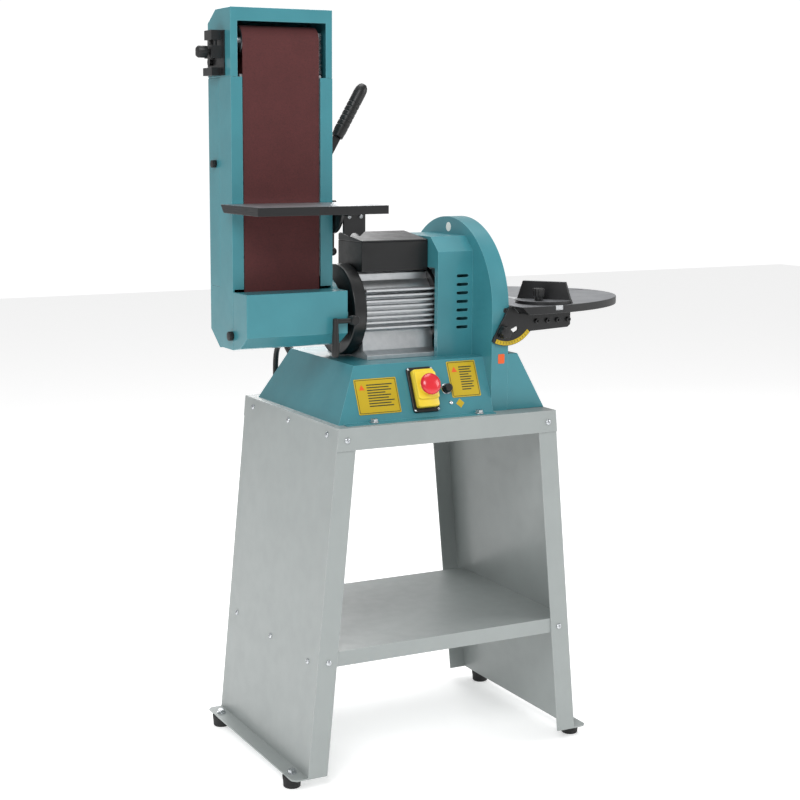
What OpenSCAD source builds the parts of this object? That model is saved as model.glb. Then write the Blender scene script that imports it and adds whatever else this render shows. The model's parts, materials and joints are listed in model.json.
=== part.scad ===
// Belt disc sander: a long sanding belt on a tilting arm and a sanding disc, driven by one
// motor, on a pressed base and a sheet-steel stand.
// X runs to the disc side, Y to the back and Z up.

/* [Stand] */
// Height of the deck above the floor
stand_h = 667; // [640:1:700]
// Half of the stand's width at the deck
stand_top_half = 230; // [225:1:240]
// Half of the stand's width at the floor
stand_foot_half = 291; // [280:1:300]
// Half of the stand's depth
stand_half_d = 210; // [205:1:220]
// Thickness of the stand's sheet
stand_sheet = 2.5; // [2:0.5:3]
// Width of the folded posts at the corners
post_w = 39; // [34:1:44]
// Height of the shelf above the floor
shelf_z = 255.5; // [240:0.5:270]
// Height of a rubber foot
foot_h = 23; // [20:1:26]

/* [Base and motor] */
// Height of the machine base
base_h = 100; // [95:1:105]
// Height of the motor axis above the base
axis_rise = 89; // [89:1:92]
// Radius of the motor shaft
shaft_r = 12; // [10:1:14]

/* [Disc] */
// Radius of the sanding disc
disc_r = 152.5; // [145:0.5:155]
// Height of the table top above the motor axis
table_rise = 10; // [8:1:14]
// Half of the disc table's width along the disc
table_half_w = 212; // [200:1:215]
// Thickness of the disc table
table_t = 15; // [13:1:16]

/* [Belt] */
// Width of the sanding belt
belt_w = 150; // [148:1:152]
// Thickness of the sanding belt
belt_t = 1.2; // [0.8:0.1:1.4]
// Radius of the drive drum
drum_r = 48; // [46:0.5:48]
// Radius of the idler roller
idler_r = 25; // [23:0.5:25]
// Height of the idler above the drive drum
idler_rise = 494; // [488:1:496]
// Thickness of the belt table
belt_table_t = 15; // [13:1:16]

/* [Mitre gauge] */
// Turn of the mitre head from square, in degrees
mitre_turn = -50; // [-60:1:60]

/* [Hidden] */
$fn = 64;
eps = 1;                    // how far a cut runs past a face
run = 0.05;                 // radial clearance of a running fit

// The origin is under the middle of the outline, which these reaches set
reach_left = -410;          // end of the tracking knob
reach_right = 480;          // outer edge of the disc table
reach_side = 225;           // front of the belt table and back of the dust port
centre_x = (reach_left + reach_right) / 2;

// Main heights and places
base_top = stand_h + base_h;
axis_z = base_top + axis_rise;
base_right = 111;
base_top_half = 138;        // half depth of the base's top
base_foot_half = 181;       // half depth of the base's foot
base_top_left = -163;
base_foot_left = -215;
base_lean = atan((base_foot_half - base_top_half) / base_h);
deck_under = stand_h - stand_sheet;

// Reusable placings: a flat outline raised along X, Y or Z
module slab_x(x0, x1) translate([x0, 0, 0]) rotate([90, 0, 90]) linear_extrude(x1 - x0) children();
module slab_y(y0, y1) translate([0, y1, 0]) rotate([90, 0, 0]) linear_extrude(y1 - y0) children();
module slab_z(z0, z1) translate([0, 0, z0]) linear_extrude(z1 - z0) children();
module block(low, high) translate(low) cube(high - low);
module rod_x(x0, x1, r, y, z) slab_x(x0, x1) translate([y, z]) circle(r);
module rod_y(y0, y1, r, x, z) slab_y(y0, y1) translate([x, z]) circle(r);
module rod_z(z0, z1, r, x, y) slab_z(z0, z1) translate([x, y]) circle(r);
module both_sides() { children(); mirror([0, 1, 0]) children(); }
function on_circle(c, r, a) = [c[0] + r * cos(a), c[1] + r * sin(a)];
function arc(c, r, a0, a1, n) = [for (i = [0:n]) on_circle(c, r, a0 + (a1 - a0) * i / n)];

// ---------- stand ----------
function web_x(z) = stand_top_half
    + (stand_foot_half - stand_top_half) * (stand_h - z) / (stand_h - foot_h);
web_lean = atan((stand_foot_half - stand_top_half) / (stand_h - foot_h));
foot_x = 306;
foot_y = 172;
foot_bolt_r = 4;
flange_x = 321;
panel_screws_y = [-168, 0, 168];
top_screws_z = stand_h - 17;
shelf_screws_z = shelf_z - 23.5;
screw_r = 3;

module pan_screw() rotate([0, 90, 0]) {
    cylinder(h = 3, r1 = 5.2, r2 = 3.6);
    translate([0, 0, -8]) cylinder(h = 8, r = screw_r);
}
module screw_hole() rotate([0, 90, 0]) translate([0, 0, -10]) cylinder(h = 12, r = screw_r);
module at_stand_screws() {
    for (side = [0, 1], y = panel_screws_y, z = [top_screws_z, shelf_screws_z])
        mirror([side, 0, 0]) translate([web_x(z), y, z]) rotate([0, -web_lean, 0]) children();
    for (x = [-213, 213]) translate([x, -stand_half_d - stand_sheet, stand_h - 22])
        rotate([0, 0, -90]) children();
    for (x = [-249, 249]) translate([x, -stand_half_d, shelf_z - 17.5])
        rotate([0, 0, -90]) children();
}
module at_feet() for (x = [-foot_x, foot_x], y = [-foot_y, foot_y]) translate([x, y, 0]) children();

module side_panel() difference() {
    low = foot_h;
    top = deck_under;
    t = stand_sheet;
    union() {
        slab_y(-stand_half_d, stand_half_d)
            polygon([[web_x(low), low], [web_x(top), top], [web_x(top) - t, top], [web_x(low) - t, low]]);
        both_sides() slab_y(-stand_half_d, -stand_half_d + t)
            polygon([[web_x(low), low], [web_x(top), top],
                     [web_x(top) - post_w, top], [web_x(low) - post_w, low]]);
        slab_z(low, low + t)
            polygon([[web_x(low) - t, -stand_half_d], [flange_x - 8, -stand_half_d],
                     [flange_x, -stand_half_d + 8], [flange_x, stand_half_d - 8],
                     [flange_x - 8, stand_half_d], [web_x(low) - t, stand_half_d]]);
    }
    at_stand_screws() screw_hole();
    for (y = [-foot_y, foot_y]) rod_z(low - eps, low + t + eps, foot_bolt_r, foot_x, y);
}
module stand_right_panel() color("#8E9394") side_panel();
module stand_left_panel() color("#8E9394") mirror([1, 0, 0]) side_panel();

base_bolts = [[-147, -189], [74, -189], [-147, 189], [74, 189]];
module at_base_bolts() for (p = base_bolts) translate([p[0], p[1], 0]) children();

module stand_top() color("#979996") difference() {
    t = stand_sheet;
    y1 = stand_half_d + t;
    rail = stand_h - 41;
    tuck = stand_top_half - 2 * t;
    union() {
        block([-stand_top_half, -y1, deck_under], [stand_top_half, y1, stand_h]);
        both_sides() slab_y(-y1, -stand_half_d)
            polygon([[-stand_top_half, stand_h - t], [stand_top_half, stand_h - t],
                     [web_x(rail), rail], [-web_x(rail), rail]]);
        for (side = [0, 1]) mirror([side, 0, 0])
            block([tuck, -stand_half_d + 20, stand_h - 27], [tuck + t, stand_half_d - 20, deck_under]);
    }
    at_stand_screws() screw_hole();
    at_base_bolts() cylinder(h = stand_h + eps, r = foot_bolt_r);
}
module stand_shelf() color("#8E9394") difference() {
    t = stand_sheet;
    x1 = web_x(shelf_z) - t - 0.5;
    y1 = stand_half_d - t;
    union() {
        block([-x1, -y1, shelf_z - t], [x1, y1 - 20, shelf_z]);
        block([-x1, -y1, shelf_z - 28], [x1, -y1 + t, shelf_z - t]);
        block([-x1, y1 - 20 - t, shelf_z - 28], [x1, y1 - 20, shelf_z - t]);
        for (side = [0, 1]) mirror([side, 0, 0])
            block([x1 - t, -y1, shelf_z - 38], [x1, y1 - 20, shelf_z - t]);
    }
    at_stand_screws() screw_hole();
}
module rubber_feet() color("#1D1E1F") at_feet() difference() {
    cylinder(h = foot_h, r1 = 16, r2 = 18);
    translate([0, 0, 8]) cylinder(h = foot_h, r = foot_bolt_r);
}
module hex_bolt(seat, low) {
    translate([0, 0, seat]) cylinder(h = 1.6, r = 9);
    translate([0, 0, seat + 1.6]) cylinder(h = 5.3, r = 7.5, $fn = 6);
    translate([0, 0, low]) cylinder(h = seat - low, r = foot_bolt_r);
}
module hex_bolts() color("#B9BCBE") {
    at_feet() hex_bolt(foot_h + stand_sheet, 8);
    at_base_bolts() hex_bolt(stand_h + 2, deck_under - 10);
}
module stand_screws() color("#C7CACC") at_stand_screws() pan_screw();

// ---------- machine base ----------
wall = 3;
flange_t = 2;
switch_at = [-32, base_top - 50.5];
reset_at = [19, base_top - 52];
gland_at = [-152, base_top - 17];
stem_r = 9;
mushroom_r = 20.5;
reset_r = 6;

function slope_y(z) = -base_foot_half + (z - stand_h) * tan(base_lean);
module on_front(x, z) translate([x, slope_y(z), z]) rotate([90 - base_lean, 0, 0]) children();
module on_back(x, z) translate([x, -slope_y(z), z]) rotate([base_lean - 90, 0, 0]) children();

module base_form(inset) intersection() {
    foot = stand_h - (inset > 0 ? eps : 0);
    top = base_top - inset;
    slope_inset = inset * 1.1;
    slab_y(-base_foot_half, base_foot_half)
        polygon([[base_foot_left + slope_inset, foot], [base_right - inset, foot],
                 [base_right - inset, top], [base_top_left + slope_inset, top]]);
    slab_x(base_foot_left, base_right)
        polygon([[-base_foot_half + slope_inset, foot], [base_foot_half - slope_inset, foot],
                 [base_top_half - slope_inset, top], [-base_top_half + slope_inset, top]]);
}
module machine_base() color("#3F8790") difference() {
    union() {
        difference() {
            base_form(0);
            base_form(wall);
        }
        both_sides() block([base_foot_left + 10, -base_foot_half - 16, stand_h],
                           [base_right - 4, -base_foot_half + 2, stand_h + flange_t]);
    }
    at_base_bolts() translate([0, 0, stand_h - eps]) cylinder(h = 8, r = foot_bolt_r);
    on_front(reset_at[0], reset_at[1]) translate([0, 0, -8]) cylinder(h = 16, r = reset_r + run);
}
module label_plates() color("#BEAA14") {
    on_front(-126.5, base_top - 55) block([-43.5, -33.5, 0], [43.5, 33.5, 1]);
    on_front(60, base_top - 36.5) block([-31, -35, 0], [31, 35, 1]);
}
module switch_box() color("#DCC85A") on_front(switch_at[0], switch_at[1]) difference() {
    union() {
        block([-27.5, -43, 0], [27.5, 43, 5]);
        block([-22, -36, 5], [22, 36, 18]);
        block([-22, -22, 18], [22, 30, 23]);
    }
    translate([0, 2, 3]) cylinder(h = 30, r = stem_r + run);
}
module stop_button() color("#CD5055") on_front(switch_at[0], switch_at[1]) translate([0, 2, 0])
    rotate_extrude() polygon(concat([[0, 9], [stem_r, 9], [stem_r, 32], [mushroom_r - 0.6, 33]],
                                    [for (a = [20:14:76]) [mushroom_r * cos(a), 34 + 12 * sin(a)]],
                                    [[0, 46]]));
module reset_button() color("#1D1E1F") on_front(reset_at[0], reset_at[1]) {
    translate([0, 0, -7]) cylinder(h = 13, r = reset_r);
    translate([0, 0, 5]) cylinder(h = 9, r1 = 8.5, r2 = 7.5);
}

// ---------- motor, along X through axis_z ----------
body_left = -108;
body_right = 42;
bore_r = 62;
fin_reach = 82;
fin_pitch = 10;
pivot_r = 45;
bearing_r = 26;

module fin_outline() {
    circle(r = bore_r + 8);
    for (i = [-3:4]) translate([-fin_reach, i * fin_pitch - 2]) square([2 * fin_reach, 4]);
    for (i = [-4:4]) translate([i * fin_pitch - 2, 0]) square([4, 74 - 1.2 * abs(i)]);
    polygon([[-85, -axis_rise], [85, -axis_rise], [85, -axis_rise + 8], [68, -axis_rise + 16],
             [64, -38], [-64, -38], [-68, -axis_rise + 16], [-85, -axis_rise + 8]]);
}
module motor_body() color("#A9ACAD") slab_x(body_left, body_right) translate([0, axis_z])
    difference() {
        fin_outline();
        circle(r = bore_r);
    }
module pivot_end_shield() color("#232526") difference() {
    union() {
        rod_x(-135, body_left, 87, 0, axis_z);
        rod_x(-172, -135, pivot_r, 0, axis_z);
    }
    rod_x(-173, -107, shaft_r + 2, 0, axis_z);
    rod_x(-126, -107, bearing_r, 0, axis_z);
}
module fan_end_shield() color("#232526") difference() {
    union() {
        rod_x(body_right, 50, 84, 0, axis_z);
        rod_x(26, body_right, 34, 0, axis_z);
    }
    rod_x(25, 51, shaft_r + 2, 0, axis_z);
    rod_x(28, 43, bearing_r, 0, axis_z);
}
module stator() color("#7A3F22") difference() {
    rod_x(-85, 20, bore_r, 0, axis_z);
    rod_x(-86, 21, 38, 0, axis_z);
}
module rotor_core() color("#8C8E90") difference() {
    rod_x(-82, 17, 37.4, 0, axis_z);
    rod_x(-83, 18, shaft_r, 0, axis_z);
}
module motor_shaft() color("#B4B7B9") rod_x(-345, 133, shaft_r, 0, axis_z);
module bearing(x0, x1) difference() {
    rod_x(x0, x1, bearing_r, 0, axis_z);
    rod_x(x0 - eps, x1 + eps, shaft_r + run, 0, axis_z);
}
module bearings() color("#9FA2A4") {
    bearing(-126, -111);
    bearing(28, 42);
}
module cooling_fan() color("#1D1E1F") difference() {
    union() {
        rod_x(56, 76, 20, 0, axis_z);
        rod_x(56, 59, 70, 0, axis_z);
        for (i = [0:7]) translate([0, 0, axis_z]) rotate([i * 45, 0, 0]) block([58, 16, -1.5], [76, 69, 1.5]);
    }
    rod_x(55, 77, shaft_r, 0, axis_z);
}
box_left = -107;
box_right = 34;
box_low = axis_z + 74;
box_top = axis_z + 129;
module terminal_box() color("#232526") difference() {
    block([box_left, -60, box_low], [box_right, 40, box_top]);
    block([box_left + wall, -57, box_low + wall], [box_right - wall, 37, box_top + eps]);
}
module terminal_box_lid() color("#3A3D3F") slab_x(box_left, box_right)
    polygon([[-60, box_top], [40, box_top], [40, box_top + 12], [34, box_top + 15], [-60, box_top + 3]]);

// ---------- shroud between motor and disc ----------
shroud_left = 35;
shroud_half = 98;
shroud_top = axis_z + 137;
shroud_edge = axis_z + 110;
vent_r = 3;
vent_pitch = 16.3;
module shroud_outline(t) polygon([
    [-shroud_half + t, base_top - (t > 0 ? eps : 0)], [shroud_half - t, base_top - (t > 0 ? eps : 0)],
    [shroud_half - t, shroud_edge - t / 2], [68 - t / 2, shroud_top - t],
    [-68 + t / 2, shroud_top - t], [-shroud_half + t, shroud_edge - t / 2]]);
module vent_slot(x0, x1, z) {
    translate([x0 + vent_r, z]) circle(r = vent_r);
    translate([x1 - vent_r, z]) circle(r = vent_r);
    translate([x0 + vent_r, z - vent_r]) square([x1 - x0 - 2 * vent_r, 2 * vent_r]);
}
module motor_shroud() color("#3F8790") difference() {
    slab_x(shroud_left, base_right) shroud_outline(0);
    slab_x(shroud_left + wall, base_right + eps) shroud_outline(wall);
    block([shroud_left - eps, -86, base_top - eps], [shroud_left + wall + eps, 86, axis_z + 79]);
    for (i = [0:6]) slab_y(-shroud_half - eps, shroud_half + eps)
        vent_slot(76, 102, axis_z + 63 - i * vent_pitch);
}

// ---------- disc housing and chute ----------
housing_r = 171;
housing_right = 147;
sheet = 3;
port_r = 25;
port_bore = 22.5;
disc_port_at = [174, stand_h + 31];
lock_hole_r = 4;

module housing_outline(r, low) {
    translate([0, axis_z]) circle(r = r, $fn = 128);
    translate([-r, low]) square([2 * r, axis_z - low]);
}
module disc_housing() color("#3F8790") difference() {
    slab_x(base_right, housing_right) housing_outline(housing_r, stand_h);
    slab_x(base_right + sheet, housing_right + eps) housing_outline(housing_r - sheet, stand_h + sheet);
    rod_x(base_right - eps, base_right + sheet + eps, 30, 0, axis_z);
    both_sides() rod_y(-housing_r - eps, -housing_r + sheet + eps, hinge_pin_r + run, hinge_at[0], hinge_at[1]);
    rod_y(-housing_r - eps, -housing_r + sheet + eps, lock_hole_r, table_lock_at[0], table_lock_at[1]);
}
chute_foot = 230;
chute_top = [168, axis_z - 81];
module dust_chute() color("#3F7C82") difference() {
    union() {
        both_sides() slab_y(-housing_r, -housing_r + sheet)
            polygon([[housing_right, stand_h], [chute_foot, stand_h], chute_top, [housing_right, chute_top[1]]]);
        slab_y(-housing_r, housing_r)
            polygon([[chute_foot, stand_h], chute_top, [152.5, chute_top[1]], [152.5, chute_top[1] - sheet],
                     [chute_top[0] - 1.8, chute_top[1] - sheet], [chute_foot - 3.5, stand_h]]);
        block([housing_right, -housing_r, stand_h], [chute_foot - 2, housing_r, stand_h + sheet]);
    }
    rod_y(housing_r - sheet - eps, housing_r + eps, port_bore, disc_port_at[0], disc_port_at[1]);
}
module disc_dust_port() color("#1D1E1F") difference() {
    rod_y(housing_r, reach_side, port_r, disc_port_at[0], disc_port_at[1]);
    rod_y(housing_r - eps, reach_side + eps, port_bore, disc_port_at[0], disc_port_at[1]);
}
module disc_plate() color("#9FA2A4") difference() {
    union() {
        rod_x(116, 134, 24, 0, axis_z);
        slab_x(134, 148.5) translate([0, axis_z]) circle(r = disc_r, $fn = 128);
    }
    rod_x(115, 133, shaft_r, 0, axis_z);
}
module sanding_disc() color("#552B2D") slab_x(148.5, 150) translate([0, axis_z]) circle(r = disc_r, $fn = 128);

// ---------- disc table, tilting on pins in the housing ----------
hinge_at = [140, axis_z + 1];
hinge_pin_r = 5;
table_edge = 152;
table_top = axis_z + table_rise;
table_low = table_top - table_t;
table_mid = 180;
table_reach = reach_right - table_mid;
trunnion_in = 173;
trunnion_out = 178;
lock_arc_r = 40;
lock_arc_from = 255;
table_lock_at = on_circle(hinge_at, lock_arc_r, lock_arc_from);
slot_left = 228;
slot_right = 247;
slot_depth = 9;

module table_outline() polygon(concat(
    [[table_edge, -table_half_w]],
    [for (i = [0:40]) [table_mid + table_reach * cos(-90 + i * 4.5), table_half_w * sin(-90 + i * 4.5)]],
    [[table_edge, table_half_w]]));
module disc_table() color("#8C8E91") difference() {
    slab_z(table_low, table_top) table_outline();
    // bevel that clears the disc when the table tilts
    slab_y(-table_half_w - eps, table_half_w + eps)
        polygon([[table_edge - eps, table_top + eps], [table_edge - eps, table_low - eps],
                 [table_edge + table_t + eps, table_low - eps]]);
    block([slot_left, -table_half_w - eps, table_top - slot_depth],
          [slot_right, table_half_w + eps, table_top + eps]);
    slab_z(table_low - eps, table_top + eps) {
        translate([396, 40]) circle(r = 3);
        translate([460, 40]) circle(r = 3);
        translate([396, 37]) square([64, 6]);
    }
}
// an arc slot with round ends, its middle line of radius r about c
module lock_slot(c, r, half, a0, a1) polygon(concat(
    arc(c, r + half, a0, a1, 10),
    [for (i = [1:7]) on_circle(on_circle(c, r, a1), half, a1 + i * 22.5)],
    arc(c, r - half, a1, a0, 10),
    [for (i = [1:7]) on_circle(on_circle(c, r, a0), half, a0 + 180 + i * 22.5)]));
module trunnion_outline() difference() {
    polygon(concat([[144, table_top - 2], [108, table_low - 50]],
                   arc(hinge_at, 66, 244, 322, 16),
                   [[276, table_low - 31], [282, table_low - 26], [282, table_low],
                    [table_edge + table_t - 1.5, table_low], [table_edge + 0.5, table_top - 2]]));
    lock_slot(hinge_at, lock_arc_r, 4.3, lock_arc_from, lock_arc_from + 45);
}
module table_trunnions() color("#232526") both_sides() {
    slab_y(-trunnion_out, -trunnion_in) trunnion_outline();
    rod_y(-trunnion_in, -housing_r + 7, hinge_pin_r, hinge_at[0], hinge_at[1]);
}
module tilt_scale() color("#BEAA14") slab_y(-trunnion_out - 0.6, -trunnion_out)
    polygon(concat(arc(hinge_at, 57, 246, 320, 16), arc(hinge_at, 65, 320, 246, 16)));
module table_lock_knob() color("#1D1E1F") {
    rod_y(-trunnion_out - 3, -housing_r + 11, lock_hole_r - run, table_lock_at[0], table_lock_at[1]);
    slab_y(-trunnion_out - 18, -trunnion_out - 1.5) translate(table_lock_at) {
        circle(r = 10);
        for (a = [0:60:300]) translate(on_circle([0, 0], 9.5, a)) circle(r = 3.4);
    }
}

// ---------- mitre gauge ----------
mitre_at = [(slot_left + slot_right) / 2, -150];
gauge_gap = 0.1;
head_t = 6;
pivot_stud_r = 5;
clamp_stud_r = 4;
clamp_at = 30;              // from the pivot to the clamp knob
module at_mitre() translate([mitre_at[0], mitre_at[1], table_top]) rotate([0, 0, mitre_turn]) children();
module mitre_bar() color("#9FA2A4") difference() {
    block([slot_left + gauge_gap, -205, table_top - slot_depth],
          [slot_right - gauge_gap, 60, table_top - 0.2]);
    translate([mitre_at[0], mitre_at[1], table_top - slot_depth + 1]) cylinder(h = slot_depth, r = pivot_stud_r);
}
module mitre_head() color("#8C8E91") at_mitre() difference() {
    union() {
        translate([0, 0, 0.4]) linear_extrude(head_t) intersection() {
            circle(r = 54);
            translate([-60, -60]) square([120, 62]);
        }
        translate([0, 0, 0.4]) slab_y(2, 12)
            polygon([[-56, 0], [56, 0], [52, 8], [42, 40], [-42, 40], [-52, 8]]);
        translate([0, 0, -slot_depth + 2]) cylinder(h = slot_depth, r = pivot_stud_r - run);
    }
    translate([0, -clamp_at, -eps]) cylinder(h = 12, r = clamp_stud_r);
}
module mitre_knob() color("#1D1E1F") at_mitre() translate([0, -clamp_at, 0]) {
    translate([0, 0, 1]) cylinder(h = 9, r = clamp_stud_r - run);
    translate([0, 0, 7]) cylinder(h = 5, r = 8);
    translate([0, 0, 12]) cylinder(h = 18, r1 = 9, r2 = 11);
}

// ---------- belt arm ----------
arm_left = -364;
arm_right = -164;
arm_front = -52;
arm_back = 56;
arm_low = axis_z - 59;
arm_top = 1406;
skin = 3;
hood_z = axis_z + 51;
hood_lip = -62;             // where the hood's top ends, just ahead of the belt
cap_z = 1285;
belt_left = -340;  // the belt runs nearly in the middle of the arm
belt_right = belt_left + belt_w;
idler_at = [-(drum_r - idler_r), axis_z + idler_rise];
belt_gap = 0.3;
rod_at = [-265, -15];
guide_r = 8;
lever_at = [-155, 1095];
lever_pin_r = 5;
lever_lean = 30.2;
grip_from = 98;             // from the lever's pin to the grip
grip_len = 103;
grip_r = 12.5;
belt_pivot = [-38, 1050];
belt_lock_r = 32;
belt_lock_from = 310;
belt_lock_at = on_circle(belt_pivot, belt_lock_r, belt_lock_from);
belt_port_at = [-264, axis_z + 12];
clamp_stud = [-157, axis_z - 7];
clamp_r = 6;

module arm_side_outline() polygon([
    [arm_front, arm_low], [11, arm_low], [arm_back - skin, arm_low + 30], [arm_back - skin, hood_z],
    [5, hood_z], [5, cap_z], [arm_front, cap_z]]);
module arm_frame() color("#3F7C82") difference() {
    union() {
        slab_x(arm_left, arm_left + skin) arm_side_outline();
        slab_x(arm_right - skin, arm_right) arm_side_outline();
        block([arm_left + skin, arm_front, hood_z], [belt_left - 2, arm_front + skin, cap_z]);
        block([belt_right + 2, arm_front, hood_z], [arm_right - skin, arm_front + skin, cap_z]);
        block([arm_left + skin, -38, axis_z + 69], [arm_right - skin, -32, axis_z + 344]);
        rod_x(arm_right, arm_right + 14, 64, 0, axis_z);
        block([arm_right, -89, axis_z - 18], [arm_right + 14, -50, axis_z + 4]);
    }
    rod_x(arm_right - skin - eps, arm_right + 15, pivot_r + run, 0, axis_z);
    rod_y(-90, 0, clamp_r, clamp_stud[0], clamp_stud[1]);
    rod_x(arm_right - skin - eps, arm_right + eps, hinge_pin_r + run, belt_pivot[0], belt_pivot[1]);
    rod_x(arm_right - skin - eps, arm_right + eps, lock_hole_r, belt_lock_at[0], belt_lock_at[1]);
}
module platen() color("#6E7173") block([belt_left - 5, -47.9, axis_z + 69], [belt_right + 5, -38, axis_z + 434]);
module belt_outline(gap) hull() {
    translate([0, axis_z]) circle(r = drum_r + gap);
    translate(idler_at) circle(r = idler_r + gap);
}
module sanding_belt() color("#552B2D") slab_x(belt_left, belt_right) difference() {
    belt_outline(belt_gap + belt_t);
    belt_outline(belt_gap);
}
module drive_drum() color("#2A2B2C") difference() {
    rod_x(belt_left - 1, belt_right + 1, drum_r, 0, axis_z);
    rod_x(belt_left - 2, belt_left + 45, drum_r - 8, 0, axis_z);
    rod_x(belt_right - 45, belt_right + 2, drum_r - 8, 0, axis_z);
    rod_x(belt_left, belt_right, shaft_r, 0, axis_z);
}
module idler_roller() color("#B4B7B9") difference() {
    rod_x(belt_left, belt_right, idler_r, idler_at[0], idler_at[1]);
    rod_x(belt_left - eps, belt_right + eps, guide_r + run, idler_at[0], idler_at[1]);
}
fork_z = axis_z + 356;
spring_low = axis_z + 309;
module idler_carriage() color("#6E7173") {
    x0 = belt_left - 12;
    x1 = belt_right + 12;
    block([x0, -31, fork_z], [x1, 1, fork_z + 28]);
    for (x = [x0, x1 - 7]) block([x, -35, fork_z + 28], [x + 7, -11, idler_at[1] + 16]);
    rod_x(x0 + 7, x1 - 7, guide_r, idler_at[0], idler_at[1]);
    rod_z(fork_z - 92, fork_z, guide_r, rod_at[0], rod_at[1]);
}
module tension_spring() color("#B4B7B9") translate([rod_at[0], rod_at[1], spring_low]) difference() {
    cylinder(h = fork_z - spring_low, r = 13);
    translate([0, 0, -eps]) cylinder(h = fork_z, r = guide_r + 0.6);
}
module tension_base() color("#232526") {
    difference() {
        block([arm_left + skin, -31, spring_low - 25], [arm_right - skin, 1, spring_low]);
        rod_z(spring_low - 26, spring_low + eps, guide_r + run, rod_at[0], rod_at[1]);
    }
    difference() {
        block([arm_right, 26, lever_at[1] - 14], [lever_at[0] + 9, 44, lever_at[1] + 14]);
        rod_y(25, 45, lever_pin_r, lever_at[0], lever_at[1]);
    }
}
module at_lever() translate([lever_at[0], 0, lever_at[1]]) rotate([0, lever_lean, 0]) children();
module tension_lever() color("#3A3D3F") at_lever() {
    slab_y(46, 51) {
        circle(r = 8);
        translate([-8, 0]) square([16, grip_from]);
    }
    rod_y(26, 46, lever_pin_r - run, 0, 0);
}
module lever_grip() color("#1D1E1F") at_lever() translate([0, 48.5, grip_from]) {
    cylinder(h = grip_len, r = grip_r);
    translate([0, 0, grip_len]) intersection() {
        sphere(r = grip_r);
        translate([-grip_r, -grip_r, 0]) cube([2 * grip_r, 2 * grip_r, grip_r]);
    }
}
module rear_cover() color("#3F8790") difference() {
    union() {
        slab_x(arm_left, arm_right)
            polygon([[11, arm_low], [arm_back - skin, arm_low + 30], [arm_back - skin, cap_z],
                     [arm_back, cap_z], [arm_back, arm_low + 28.5], [12.6, arm_low - 2.5]]);
        for (x = [arm_left, arm_right - skin])
            block([x, 5, hood_z], [x + skin, arm_back - skin, cap_z]);
    }
    rod_y(arm_back - skin - eps, arm_back + eps, port_bore, belt_port_at[0], belt_port_at[1]);
}
module cover_knobs() color("#1D1E1F") {
    rod_x(arm_left - 9, arm_left, 7, 23, axis_z + 275);
    rod_x(arm_left - 9, arm_left, 8.5, -49, axis_z - 33);
}
module top_cap() color("#3F8790") difference() {
    slab_x(arm_left, arm_right)
        polygon([[arm_front, cap_z], [arm_back, cap_z], [arm_back, arm_top - 23], [18, arm_top], [arm_front, arm_top]]);
    slab_x(arm_left + skin, arm_right - skin)
        polygon([[arm_front + skin, cap_z - eps], [arm_back - skin, cap_z - eps],
                 [arm_back - skin, arm_top - 24.7], [17, arm_top - skin], [arm_front + skin, arm_top - skin]]);
    block([arm_left + 14, arm_front - eps, cap_z - eps], [arm_right - 13, arm_front + skin + eps, arm_top - 24]);
}
module lower_hood() color("#1F5C60") difference() {
    union() {
        slab_x(arm_left, arm_right)
            polygon([[arm_front, arm_low], [-83, arm_low + 6], [-116, axis_z - 31],
                     [-116, hood_z - 4], [arm_front, hood_z - 4]]);
        block([arm_left + skin, arm_front, arm_low], [arm_right - skin, 11, arm_low + skin]);
    }
    slab_x(arm_left + skin, arm_right - skin)
        polygon([[arm_front + eps, arm_low + skin], [-82.4, arm_low + 9], [-113, axis_z - 29.4],
                 [-113, hood_z - 7], [hood_lip, hood_z - 7], [hood_lip, hood_z], [arm_front + eps, hood_z]]);
}
module belt_dust_port() color("#1D1E1F") difference() {
    rod_y(arm_back, arm_back + 40, port_r, belt_port_at[0], belt_port_at[1]);
    rod_y(arm_back - eps, arm_back + 41, port_bore, belt_port_at[0], belt_port_at[1]);
}
track_at = [-8, 1329];
track_r = 5;
module tracking_bracket() color("#232526") difference() {
    union() {
        block([arm_left - 3, -27, 1288], [arm_left, 50, 1367]);
        block([arm_left - 24, -22, 1350], [arm_left - 3, 12, 1367]);
        block([arm_left - 24, -22, 1318], [arm_left - 3, 12, 1340]);
        block([arm_left - 20, -12, 1288], [arm_left - 3, 30, 1302]);
        for (y = [-14, 4]) rod_z(1340, 1350, 3.5, arm_left - 14, y);
        rod_x(arm_left - 9, arm_left - 3, 7, 30, 1313);
    }
    rod_x(arm_left - 25, arm_left - 4, track_r, track_at[0], track_at[1]);
}
module tracking_knob() color("#1D1E1F") {
    rod_x(arm_left - 30, arm_left - 5, track_r - run, track_at[0], track_at[1]);
    rod_x(reach_left, arm_left - 27, 11, track_at[0], track_at[1]);
}
module arm_clamp_lever() color("#1D1E1F") {
    rod_y(-120, -47, clamp_r - run, clamp_stud[0], clamp_stud[1]);
    rod_y(-136, -120, 9, clamp_stud[0], clamp_stud[1]);
    rod_x(-195, clamp_stud[0] - 8, 5, -128, clamp_stud[1]);
    rod_z(clamp_stud[1] - 66, clamp_stud[1] + 6, 7.5, -195, -128);
}

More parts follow.
